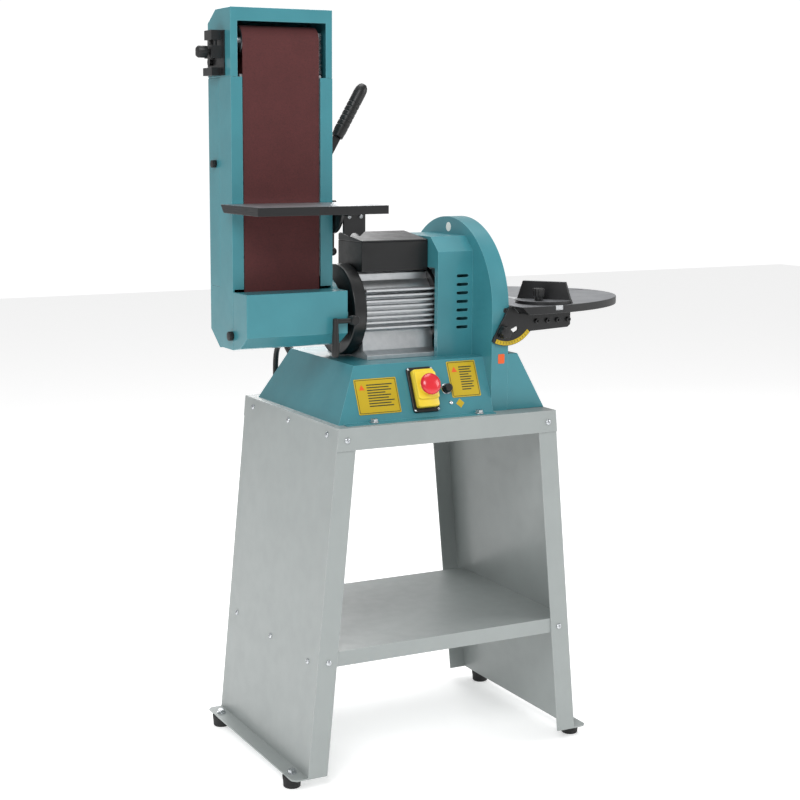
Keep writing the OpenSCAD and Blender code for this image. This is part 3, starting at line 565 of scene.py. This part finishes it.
# castings, sheet metal and mouldings that keep their CAD shape, with their edges rolled over
# node: material, edge radius in mm
skins = {
    "stand_left_panel": ("greyEnamel", 1.1), "stand_right_panel": ("greyEnamel", 1.1),
    "stand_top": ("greyEnamel", 1.1), "stand_shelf": ("greyEnamel", 1.1),
    "hex_bolts": ("zincSteel", 0.6), "machine_base": ("tealEnamel", 1.4),
    "motor_shroud": ("tealEnamel", 1.4), "disc_housing": ("tealEnamel", 1.2),
    "dust_chute": ("tealEnamel", 1.3), "motor_body": ("castAluminium", 0.8),
    "pivot_end_shield": ("blackEnamel", 3.0), "fan_end_shield": ("blackEnamel", 2.0),
    "terminal_box": ("blackEnamel", 1.2), "terminal_box_lid": ("blackEnamel", 2.5),
    "disc_dust_port": ("blackPlastic", 0.8), "disc_plate": ("castAluminium", 1.0),
    "cooling_fan": ("blackPlastic", 0.6), "disc_table": ("tableIron", 2.2),
    "table_trunnions": ("blackEnamel", 1.0), "tilt_scale": ("yellowFilm", 0.15),
    "mitre_bar": ("castAluminium", 0.5), "mitre_head": ("restIron", 1.6),
    "arm_frame": ("tealEnamel", 1.0), "rear_cover": ("tealEnamel", 1.2), "top_cap": ("tealEnamel", 1.4),
    "lower_hood": ("tealEnamel", 1.3), "belt_dust_port": ("blackPlastic", 0.8),
    "platen": ("turnedSteel", 0.6), "tension_base": ("blackEnamel", 1.2),
    "tension_lever": ("blackEnamel", 0.8), "tracking_bracket": ("blackEnamel", 1.0),
    "idler_carriage": ("zincSteel", 0.6), "idler_roller": ("turnedSteel", 1.0),
    "drive_drum": ("blackRubber", 1.0), "belt_table": ("restIron", 1.4),
    "belt_table_bracket": ("blackEnamel", 1.0),
}
for node, (material, radius) in skins.items():
    rolledEdge(node, material, radius)
print("skins made:", len(skins))

# pieces that stay as CAD made them and take only a material
plainNodes = {"stator": "windingCopper", "rotor_core": "turnedSteel", "motor_shaft": "turnedSteel",
              "bearings": "turnedSteel", "sanding_belt": "abrasiveCloth", "sanding_disc": "abrasiveCloth"}
for node, material in plainNodes.items():
    for held in frame["nodes"][node].material_slots:
        held.material = look[material]


# the last nodes of every tree: real geometry in one material
def finishTree(tree, geometry, material, exitNode):
    real = addNode(tree, "GeometryNodeRealizeInstances", {"Geometry": geometry})
    painted = addNode(tree, "GeometryNodeSetMaterial",
                      {"Geometry": real.outputs["Geometry"], "Material": look[material]})
    tree.links.new(painted.outputs["Geometry"], exitNode.inputs["Geometry"])


# Geometry Nodes: one fastener set out on points, each turned to its own direction
def fastenerTree(name, head, material):
    tree = bpy.data.node_groups.new(name, "GeometryNodeTree")
    tree.interface.new_socket("Geometry", in_out="INPUT", socket_type="NodeSocketGeometry")
    size = tree.interface.new_socket("Head size", in_out="INPUT", socket_type="NodeSocketFloat")
    size.default_value = 1.0
    tree.interface.new_socket("Geometry", in_out="OUTPUT", socket_type="NodeSocketGeometry")
    entry, exitNode = tree.nodes.new("NodeGroupInput"), tree.nodes.new("NodeGroupOutput")
    shape = addNode(tree, "GeometryNodeObjectInfo", {"Object": head})
    facing = addNode(tree, "GeometryNodeInputNamedAttribute", {"Name": "facing"}, data_type="FLOAT_VECTOR")
    turnTo = addNode(tree, "FunctionNodeAlignRotationToVector",
                     {"Vector": facing.outputs["Attribute"]}, axis="Z")
    spread = addNode(tree, "GeometryNodeInstanceOnPoints", {
        "Points": entry.outputs["Geometry"], "Instance": shape.outputs["Geometry"],
        "Rotation": turnTo.outputs["Rotation"], "Scale": entry.outputs["Head size"]})
    finishTree(tree, spread.outputs["Instances"], material, exitNode)
    return tree, size.identifier


def setOut(name, places, head, material, body, headSize=1.0, replaces=()):
    mesh = bpy.data.meshes.new(name)
    mesh.from_pydata([place for place, _ in places], [], [])
    facing = mesh.attributes.new("facing", "FLOAT_VECTOR", "POINT")
    for slotAt, (_, direction) in zip(facing.data, places):
        slotAt.vector = Vector(direction).normalized()
    piece = bpy.data.objects.new(name, mesh)
    bpy.context.scene.collection.objects.link(piece)
    tree, sizeSocket = fastenerTree(name + "_nodes", head, material)
    spread = piece.modifiers.new("fasteners", "NODES")
    spread.node_group = tree
    spread[sizeSocket] = headSize
    settle(piece)
    shade(piece.data)
    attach(piece, body)
    if replaces:
        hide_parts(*replaces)
    return piece


def keptAside(piece):
    bpy.context.scene.collection.objects.unlink(piece)
    return piece


# a pan head with a cross recess, and a socket cap screw, both with their seat at z = 0
panHead = {"radius": 5.4, "height": 3.4, "rim": 0.8, "cross": (5.6, 1.2, 0.3), "deep": 1.6, "tool": 5}
capHead = {"radius": 5.0, "height": 5.0, "bevel": 0.6, "socket": 2.6, "deep": 2.6, "tool": 5}


def cut(piece, tools):
    for tool in tools:
        hollow = piece.modifiers.new("cut", "BOOLEAN")
        hollow.operation, hollow.solver, hollow.object = "DIFFERENCE", "EXACT", tool
    settle(piece)
    for tool in tools:
        bpy.data.objects.remove(tool)
    shade(piece.data)
    return piece


def makePanHead():
    r, h = panHead["radius"], panHead["height"]
    dome = []
    for degrees in (0, 18, 38, 60, 80):
        across, up = onCircle(1, degrees)
        dome.append((r * across, panHead["rim"] + (h - panHead["rim"]) * up))
    head = turned("pan_head", [(r * 0.97, 0)] + dome + [(0, h)], (0, 0, 0), (0, 0, 1), "zincSteel", 24)
    arms = []
    for turn in (0, 90):
        place = Matrix.Translation((0, 0, (h - panHead["deep"]) * mm))
        place = place @ Matrix.Rotation(math.radians(turn), 4, "Z")
        outline = roundedBox(*panHead["cross"], 2)
        arms.append(raised("cross_arm", outline, panHead["tool"], place, "zincSteel", 0))
    return keptAside(cut(head, arms))


def makeCapHead():
    r, h, bevel = capHead["radius"], capHead["height"], capHead["bevel"]
    profile = [(r, 0), (r, h - bevel), (r - bevel, h), (0, h)]
    head = turned("cap_head", profile, (0, 0, 0), (0, 0, 1), "blackEnamel", 24)
    hexagon = [onCircle(capHead["socket"], 60 * k) for k in range(6)]
    place = Matrix.Translation((0, 0, (h - capHead["deep"]) * mm))
    socket = raised("socket", hexagon, capHead["tool"], place, "blackEnamel", 0)
    return keptAside(cut(head, [socket]))


crossHead, socketHead = makePanHead(), makeCapHead()

# where the stand's panels and screws are, as the design has them
stand = {"top": 667, "foot": 23, "topHalf": 230, "footHalf": 291}
sideScrews = {"along": (-168, 0, 168), "heights": (650, 232)}
frontScrews = {"top": (213, -212.5, 645), "shelf": (249, -210, 238)}
standFlare = (stand["footHalf"] - stand["topHalf"]) / (stand["top"] - stand["foot"])


def webX(z):
    return stand["topHalf"] + standFlare * (stand["top"] - z)


webLean = math.atan(standFlare)
screwPlaces = []
for side in (-1, 1):
    outward = (side * math.cos(webLean), 0, math.sin(webLean))
    for along in sideScrews["along"]:
        for height in sideScrews["heights"]:
            screwPlaces.append((at(side * webX(height), along, height), outward))
for side in (-1, 1):
    for x, y, z in frontScrews.values():
        screwPlaces.append((at(side * x, y, z), (0, -1, 0)))
setOut("stand_screw_heads", screwPlaces, crossHead, "zincSteel", "machine", 1.0, ["stand_screws"])
print("stand screws:", len(screwPlaces))


# rubber feet
foot = {"x": 306, "y": 172,
        "profile": [(14.5, 0), (16, 1.5), (16.6, 12), (17.2, 14), (18, 21.5), (17, 22.9), (0, 23)]}


def makeFeet():
    feet = []
    for x in (-foot["x"], foot["x"]):
        for y in (-foot["y"], foot["y"]):
            feet.append(turned("foot", foot["profile"], at(x, y, 0), (0, 0, 1), "blackRubber", 36))
    piece = joined("foot_pads", feet)
    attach(piece, "machine")
    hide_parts("rubber_feet")


makeFeet()


# sloping front of the base: switch, buttons and labels
front = {"foot": -181, "low": 667}
frontLean = math.atan(baseSlope)
frontNormal = Vector((0, -math.cos(frontLean), math.sin(frontLean)))


# a frame on the slope: x to the right, y up the slope, z out of the sheet
def onFront(x, z, out=0.0):
    origin = at(x, front["foot"] + (z - front["low"]) * baseSlope, z)
    upSlope = Vector((0, math.sin(frontLean), math.cos(frontLean)))
    place = Matrix((Vector((1, 0, 0)), upSlope, frontNormal)).transposed().to_4x4()
    return Matrix.Translation(origin + frontNormal * out * mm) @ place


# the switch: plate, body and step are width, height, corner and thickness in mm
switch = {"x": -32, "z": 716.5, "plate": (55, 86, 6), "plateThick": 5, "body": (44, 72, 5), "bodyThick": 13,
          "step": (44, 52, 5), "stepThick": 5, "stepUp": 4, "stemUp": 1.84, "screws": (24.4, 36),
          "collar": [(15.5, 0), (15.5, 1.6), (14.5, 2.4), (12, 2.4), (12, 0)]}
mushroom = {"stem": [(8.9, 10.6), (8.9, 30), (11, 32.4), (19, 33.2), (20.2, 34.4)], "radius": 20.3,
            "rim": 36, "crown": 9.8, "top": 45.9}
resetAt = (19, 715)
resetCap = [(5.9, -6.8), (5.9, 5), (7.9, 5.2), (8.5, 6.4), (8.3, 9), (7.6, 12.6), (6.4, 13.8), (0, 14)]
resetRing = [(6.3, 0), (10.5, 0), (10.5, 1), (9.8, 1.7), (6.3, 1.7), (6.3, 0)]


def makeSwitch():
    x, z = switch["x"], switch["z"]
    bodyAt = switch["plateThick"]
    stepAt = bodyAt + switch["bodyThick"]
    collarAt = stepAt + switch["stepThick"]
    plate = raised("switch_plate", roundedBox(*switch["plate"]), switch["plateThick"], onFront(x, z),
                   "blackPlastic", 1.2)
    body = raised("switch_body", roundedBox(*switch["body"]), switch["bodyThick"], onFront(x, z, bodyAt),
                  "yellowPlastic", 2.0)
    outline = [(across, up + switch["stepUp"]) for across, up in roundedBox(*switch["step"])]
    step = raised("switch_step", outline, switch["stepThick"], onFront(x, z, stepAt), "yellowPlastic", 1.6)
    collar = turned("switch_collar", switch["collar"], onFront(x, z + switch["stemUp"], collarAt).translation,
                    frontNormal, "yellowPlastic")
    housing = joined("switch_housing", [body, step, collar])
    for piece in (plate, housing):
        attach(piece, "machine")
    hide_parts("switch_box")
    across, up = switch["screws"]
    corners = [(onFront(x + i * across, z + k * up, bodyAt).translation, frontNormal)
               for i in (-1, 1) for k in (-1, 1)]
    setOut("switch_plate_screws", corners, crossHead, "zincSteel", "machine", 0.45)


def makeStopButton():
    base = onFront(switch["x"], switch["z"] + switch["stemUp"]).translation
    dome = []
    for degrees in range(0, 85, 9):
        across, up = onCircle(1, degrees)
        dome.append((mushroom["radius"] * across, mushroom["rim"] + mushroom["crown"] * up))
    profile = mushroom["stem"] + dome + [(0, mushroom["top"])]
    button = turned("stop_mushroom", profile, base, frontNormal, "redPlastic", 48)
    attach(button, "stop")
    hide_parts("stop_button")


def makeResetButton():
    base = onFront(*resetAt).translation
    cap = turned("reset_cap", resetCap, base, frontNormal, "blackPlastic", 36)
    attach(cap, "reset")
    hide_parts("reset_button")
    nut = turned("reset_ring", resetRing, base, frontNormal, "zincSteel", 36)
    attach(nut, "machine")


# a notice: its film, printed border, rows that stand for print, and warning triangle
notice = {"thick": 0.9, "ink": 0.12, "outer": (4, 2), "inner": (6, 1.5), "row": 2.1, "rowLeft": 24,
          "rowShares": (1, 0.86, 0.94, 0.7, 0.9, 0.8), "sideRoom": 34, "headRoom": 12, "rowsRoom": 22,
          "sign": [(-6, -5), (6, -5), (0, 5.4)], "signIn": (14, 16)}


# a flat ring between two outlines with as many points, raised to a thickness
def raisedRing(name, inner, outer, thick, place, material):
    form = bmesh.new()
    ring = [[form.verts.new((px * mm, py * mm, 0)) for px, py in loop] for loop in (inner, outer)]
    for k in range(len(inner)):
        n = (k + 1) % len(inner)
        form.faces.new([ring[0][k], ring[1][k], ring[1][n], ring[0][n]])
    rise = bmesh.ops.extrude_face_region(form, geom=list(form.faces))
    lifted = [v for v in rise["geom"] if isinstance(v, bmesh.types.BMVert)]
    bmesh.ops.translate(form, verts=lifted, vec=(0, 0, thick * mm))
    bmesh.ops.recalc_face_normals(form, faces=form.faces)
    mesh = bpy.data.meshes.new(name)
    form.to_mesh(mesh)
    form.free()
    mesh.transform(place)
    return link(name, mesh, material)


def makeNotice(name, x, z, width, height, rows, replaces=None):
    face = onFront(x, z, notice["thick"])
    ground = raised(name, roundedBox(width, height, 2), notice["thick"], onFront(x, z), "yellowFilm", 0.2)
    loops = [roundedBox(width - less, height - less, corner)
             for less, corner in (notice["inner"], notice["outer"])]
    marks = [raisedRing("border", *loops, notice["ink"], face, "darkFilm")]
    for k in range(rows):
        long = (width - notice["sideRoom"]) * notice["rowShares"][k % len(notice["rowShares"])]
        y = height * 0.5 - notice["headRoom"] - k * (height - notice["rowsRoom"]) / rows
        place = face @ Matrix.Translation(((-width / 2 + notice["rowLeft"] + long / 2) * mm, y * mm, 0))
        outline = roundedBox(long, notice["row"], 0.4, 2)
        marks.append(raised("row", outline, notice["ink"], place, "darkFilm", 0))
    dark = joined(name + "_print", marks)
    inward, down = notice["signIn"]
    place = face @ Matrix.Translation(((-width / 2 + inward) * mm, (height * 0.5 - down) * mm, 0))
    triangle = raised(name + "_sign", notice["sign"], 0.15, place, "orangeFilm", 0)
    for piece in (ground, dark, triangle):
        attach(piece, "machine")
    if replaces:
        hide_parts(replaces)


makeSwitch()
makeStopButton()
makeResetButton()
makeNotice("left_notice", -126.5, 712, 87, 67, 9, "label_plates")
makeNotice("right_notice", 60, 730.5, 62, 70, 10)
print("front panel made")


# knobs, levers and grips
def lobedKnob(name, base, axis, spec, material, steps=96):
    outline = []
    for k in range(steps):
        degrees = 360 * k / steps
        wave = 0.5 - 0.5 * math.cos(math.radians(spec["lobes"] * degrees))
        outline.append(onCircle(spec["radius"] - spec["lobe"] * wave, degrees))
    place = Matrix.Translation(base) @ turnedTo(axis)
    return raised(name, outline, spec["height"], place, material, spec["round"])


def rodBetween(name, start, end, radius, material, tipRadius=None, steps=32):
    along = Vector(end) - Vector(start)
    long = along.length / mm
    tip = tipRadius or radius
    return turned(name, [(radius, 0), (tip, long)], start, along, material, steps)


def standFor(piece, *nodes):
    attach(piece, bodyFor[nodes[0]])
    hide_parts(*nodes)


# heights and sides that the moving parts are set out from
axisZ, armLeft, armRight = 856, -364, -164
coverKnob = {"radius": 7, "lobe": 0.7, "lobes": 18, "height": 8.6, "round": 0.9, "y": 23, "up": 275}
hoodKnob = {"radius": 8.5, "lobe": 0.8, "lobes": 20, "height": 8.6, "round": 0.9, "y": -49, "up": -33}
trackKnob = {"radius": 11, "lobe": 1.4, "lobes": 5, "height": 18.6, "round": 2.2, "y": -8, "z": 1329,
             "stem": (-369, -394, 4.95), "from": -391.4}
tableKnob = {"radius": 12.8, "lobe": 2.6, "lobes": 6, "height": 16, "round": 2.4, "hinge": (140, 857),
             "reach": 40, "turn": 255, "stem": (-160, -182, 3.95), "from": -179.6}


def makeKnobs():
    pair = []
    for name, spec in (("upper_knob", coverKnob), ("lower_knob", hoodKnob)):
        base = at(armLeft, spec["y"], axisZ + spec["up"])
        pair.append(lobedKnob(name, base, (-1, 0, 0), spec, "blackPlastic"))
    standFor(joined("cover_knob_pair", pair), "cover_knobs")
    y, z = trackKnob["y"], trackKnob["z"]
    near, far, radius = trackKnob["stem"]
    stem = rodBetween("track_stem", at(near, y, z), at(far, y, z), radius, "blackPlastic")
    lobe = lobedKnob("track_lobe", at(trackKnob["from"], y, z), (-1, 0, 0), trackKnob, "blackPlastic")
    standFor(joined("tracking_knob_lobed", [stem, lobe]), "tracking_knob")
    along, up = onCircle(tableKnob["reach"], tableKnob["turn"])
    x, z = tableKnob["hinge"][0] + along, tableKnob["hinge"][1] + up
    near, far, radius = tableKnob["stem"]
    stem = rodBetween("table_stem", at(x, near, z), at(x, far, z), radius, "blackPlastic")
    lobe = lobedKnob("table_lobe", at(x, tableKnob["from"], z), (0, -1, 0), tableKnob, "blackPlastic")
    standFor(joined("table_lock_lobed", [stem, lobe]), "table_lock_knob")


# the lever that clamps the arm's tilt: a stud, a hub, a bent arm and a tapered grip
clampLever = {"x": -157, "drop": 7, "stud": (-47, -121, 5.9), "hubY": -120, "armY": -128, "armEnd": -196,
              "armRadius": 4.6, "gripX": -195, "gripLong": 66,
              "hub": [(8.2, 0), (9, 1.2), (9, 13), (7.6, 15.4), (0, 16)],
              "grip": [(0, 0), (5.2, 0.6), (7.2, 4), (7.5, 14), (6.6, 34), (5.2, 56), (5.4, 66), (5, 71),
                       (0, 72)]}


def makeClampLever():
    x, z = clampLever["x"], axisZ - clampLever["drop"]
    near, far, radius = clampLever["stud"]
    armY = clampLever["armY"]
    gripAt = at(clampLever["gripX"], armY, z - clampLever["gripLong"])
    parts = [rodBetween("stud", at(x, near, z), at(x, far, z), radius, "blackPlastic"),
             turned("hub", clampLever["hub"], at(x, clampLever["hubY"], z), (0, -1, 0), "blackPlastic"),
             rodBetween("arm", at(x - 5, armY, z), at(clampLever["armEnd"], armY, z),
                        clampLever["armRadius"], "blackPlastic"),
             turned("grip", clampLever["grip"], gripAt, (0, 0, 1), "blackPlastic")]
    standFor(joined("arm_clamp_handle", parts), "arm_clamp_lever")


# the lever that locks the belt table's tilt: its stud rides in the bracket's curved slot
tableLever = {"pivot": (-38, 1050), "reach": 32, "turn": 310, "stud": (-15, 2, 3.95),
              "rod": (-4, -53, 3.6, 3), "ballDrop": 58, "ball": 8, "hub": [(8, 0), (8.5, 1), (8.5, 13), (7.3, 15), (0, 15)]}


def makeTableLever():
    along, up = onCircle(tableLever["reach"], tableLever["turn"])
    y, z = tableLever["pivot"][0] + along, tableLever["pivot"][1] + up
    x = armRight + 9
    rodX = x + 8
    ball = []
    for degrees in range(0, 181, 12):
        down, across = onCircle(tableLever["ball"], degrees)
        ball.append((across, -down))
    near, far, radius = tableLever["stud"]
    top, bottom, thick, tip = tableLever["rod"]
    parts = [rodBetween("stud", at(x + near, y, z), at(x + far, y, z), radius, "blackPlastic"),
             turned("hub", tableLever["hub"], at(x, y, z), (1, 0, 0), "blackPlastic"),
             rodBetween("rod", at(rodX, y, z + top), at(rodX, y, z + bottom), thick, "blackPlastic", tip),
             turned("ball", ball, at(rodX, y, z - tableLever["ballDrop"]), (0, 0, 1), "blackPlastic")]
    standFor(joined("belt_table_lever", parts), "belt_table_lock")


# the belt tension lever's grip: ribs in the middle and a rounded end
grip = {"pin": (-155, 48.5, 1095), "lean": 30.2, "from": 98, "ribs": 6, "firstRib": 22, "pitch": 10,
        "foot": [(10.4, 0), (11.6, 1.4), (11.6, 8), (12.4, 14)],
        "tip": [(12.4, 96), (11.8, 104), (9.6, 110), (6, 114), (0, 115.4)],
        "rib": [(12.4, 0), (11.7, 1), (11.7, 2.4), (12.4, 3.4)]}


def makeGrip():
    lean = math.radians(grip["lean"])
    along = Vector((math.sin(lean), 0, math.cos(lean)))
    profile = list(grip["foot"])
    for rib in range(grip["ribs"]):
        low = grip["firstRib"] + rib * grip["pitch"]
        profile += [(radius, low + height) for radius, height in grip["rib"]]
    base = at(*grip["pin"]) + along * grip["from"] * mm
    standFor(turned("tension_grip", profile + grip["tip"], base, along, "blackPlastic", 36), "lever_grip")


mitreKnob = {"pivot": (237.5, -150), "turn": -50, "reach": 30, "tableTop": 866, "gripUp": 14,
             "stem": [(3.9, 1), (3.9, 8)], "collar": [(7.4, 7), (8, 8), (8, 12), (9, 14.2)],
             "radius": 11, "lobe": 1.2, "lobes": 12, "height": 16, "round": 2.4}


def makeMitreKnob():
    turn = math.radians(mitreKnob["turn"])
    x = mitreKnob["pivot"][0] + mitreKnob["reach"] * math.sin(turn)
    y = mitreKnob["pivot"][1] - mitreKnob["reach"] * math.cos(turn)
    base = at(x, y, mitreKnob["tableTop"])
    stem = turned("mitre_stem", mitreKnob["stem"], base, (0, 0, 1), "blackPlastic")
    gripAt = base + Vector((0, 0, mitreKnob["gripUp"] * mm))
    lobed = lobedKnob("mitre_lobe", gripAt, (0, 0, 1), mitreKnob, "blackPlastic")
    collar = turned("mitre_collar", mitreKnob["collar"], base, (0, 0, 1), "blackPlastic")
    standFor(joined("mitre_clamp_knob", [stem, collar, lobed]), "mitre_knob")


# the spring that holds the idler up: a spiral swept by Geometry Nodes
spring = {"low": 1165, "high": 1212, "mean": 10.8, "wire": 1.7, "coils": 7, "centre": (-265, -15)}


def makeSpring():
    tree = bpy.data.node_groups.new("coil_spring_nodes", "GeometryNodeTree")
    tree.interface.new_socket("Geometry", in_out="INPUT", socket_type="NodeSocketGeometry")
    coils = tree.interface.new_socket("Coils", in_out="INPUT", socket_type="NodeSocketFloat")
    tree.interface.new_socket("Geometry", in_out="OUTPUT", socket_type="NodeSocketGeometry")
    entry, exitNode = tree.nodes.new("NodeGroupInput"), tree.nodes.new("NodeGroupOutput")
    high = spring["high"] - spring["low"] - 2 * spring["wire"]
    spiral = addNode(tree, "GeometryNodeCurveSpiral", {
        "Resolution": 28, "Rotations": entry.outputs["Coils"], "Start Radius": spring["mean"] * mm,
        "End Radius": spring["mean"] * mm, "Height": high * mm})
    wire = addNode(tree, "GeometryNodeCurvePrimitiveCircle",
                   {"Resolution": 12, "Radius": spring["wire"] * mm})
    swept = addNode(tree, "GeometryNodeCurveToMesh",
                    {"Curve": spiral.outputs["Curve"], "Profile Curve": wire.outputs["Curve"],
                     "Fill Caps": True})
    middle = at(*spring["centre"], spring["low"] + spring["wire"])
    moved = addNode(tree, "GeometryNodeTransform", {"Geometry": swept.outputs["Mesh"], "Translation": middle})
    finishTree(tree, moved.outputs["Geometry"], "zincSteel", exitNode)
    piece = bpy.data.objects.new("tension_coil", bpy.data.meshes.new("tension_coil"))
    bpy.context.scene.collection.objects.link(piece)
    sweep = piece.modifiers.new("coils", "NODES")
    sweep.node_group = tree
    sweep[coils.identifier] = float(spring["coils"])
    settle(piece)
    shade(piece.data)
    standFor(piece, "tension_spring")
    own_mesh(piece)


makeKnobs()
makeClampLever()
makeTableLever()
makeGrip()
makeMitreKnob()
makeSpring()
print("knobs and spring made")


# small parts: bolts on the trunnions and brackets, stickers, scale lines
trunnion = {"boltXs": (205, 229, 252, 276), "face": 178, "boltZ": 835}
bracket = {"boltXs": (-146, -122), "face": -84, "boltZ": 1035}
tiltScale = {"hinge": (140, 857), "reach": 61, "from": 250, "to": 317, "step": 6, "face": -178.6,
             "line": (0.6, 0.6, 0.05), "long": 5}
earthScrewAt, earthLabelAt = (24, 690), (43, 688)
housingNotice = {"size": (14, 18, 2), "thick": 0.5, "at": (132, -171, 766)}
roundSticker = {"radius": 9, "thick": 0.5, "at": (111, -5, 1007)}


def makeBolts():
    trunnionBolts = [(at(x, side * trunnion["face"], trunnion["boltZ"]), (0, side, 0))
                     for side in (-1, 1) for x in trunnion["boltXs"]]
    setOut("trunnion_bolts", trunnionBolts, socketHead, "blackEnamel", "disc_rest", 0.9)
    bracketBolts = [(at(x, bracket["face"], bracket["boltZ"]), (0, -1, 0)) for x in bracket["boltXs"]]
    setOut("bracket_bolts", bracketBolts, socketHead, "zincSteel", "belt_rest", 0.7)
    earth = [(onFront(*earthScrewAt).translation, frontNormal)]
    setOut("earth_screw", earth, crossHead, "zincSteel", "machine", 0.75)


def makeScaleLines():
    middle = Matrix.Translation((0, 0, -tiltScale["long"] / 2 * mm))
    tick = raised("tick", roundedBox(*tiltScale["line"], 1), tiltScale["long"], middle, "darkFilm", 0)
    marks = []
    for degrees in range(tiltScale["from"], tiltScale["to"], tiltScale["step"]):
        x, z = onCircle(1, degrees)
        place = at(tiltScale["hinge"][0] + tiltScale["reach"] * x, tiltScale["face"],
                   tiltScale["hinge"][1] + tiltScale["reach"] * z)
        marks.append((place, (x, 0, z)))
    setOut("tilt_scale_lines", marks, keptAside(tick), "darkFilm", "disc_rest", 1.0)


def makeStickers():
    facingFront = Matrix.Rotation(math.radians(90), 4, "X")
    facingLeft = Matrix.Rotation(math.radians(-90), 4, "Y")
    noticeAt = Matrix.Translation(at(*housingNotice["at"])) @ facingFront
    label = raised("housing_notice", roundedBox(*housingNotice["size"]), housingNotice["thick"], noticeAt,
                   "orangeFilm", 0.1)
    disc = [onCircle(roundSticker["radius"], degrees) for degrees in range(0, 360, 10)]
    stickerAt = Matrix.Translation(at(*roundSticker["at"])) @ facingLeft
    sticker = raised("round_sticker", disc, roundSticker["thick"], stickerAt, "whiteFilm", 0.1)
    corners = [(-9, 0), (0, -9), (9, 0), (0, 9)]
    diamond = raised("earth_label", corners, 0.4, onFront(*earthLabelAt), "yellowFilm", 0.1)
    for piece in (label, sticker, diamond):
        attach(piece, "machine")


makeBolts()
makeScaleLines()
makeStickers()
print("small parts made")


# floor
def makeFloor():
    mesh = bpy.data.meshes.new("floor")
    mesh.from_pydata([(-9, -9, 0), (9, -9, 0), (9, 9, 0), (-9, 9, 0)], [], [(0, 1, 2, 3)])
    made, tree, shader, place = newMaterial("paintedFloor")
    shader.inputs["Base Color"].default_value = (0.9, 0.9, 0.9, 1)
    shader.inputs["Roughness"].default_value = 0.9
    shader.inputs["Emission Color"].default_value = (1, 1, 1, 1)
    shader.inputs["Emission Strength"].default_value = 0.42
    floor = bpy.data.objects.new("floor", mesh)
    mesh.materials.append(made)
    bpy.context.scene.collection.objects.link(floor)


makeFloor()
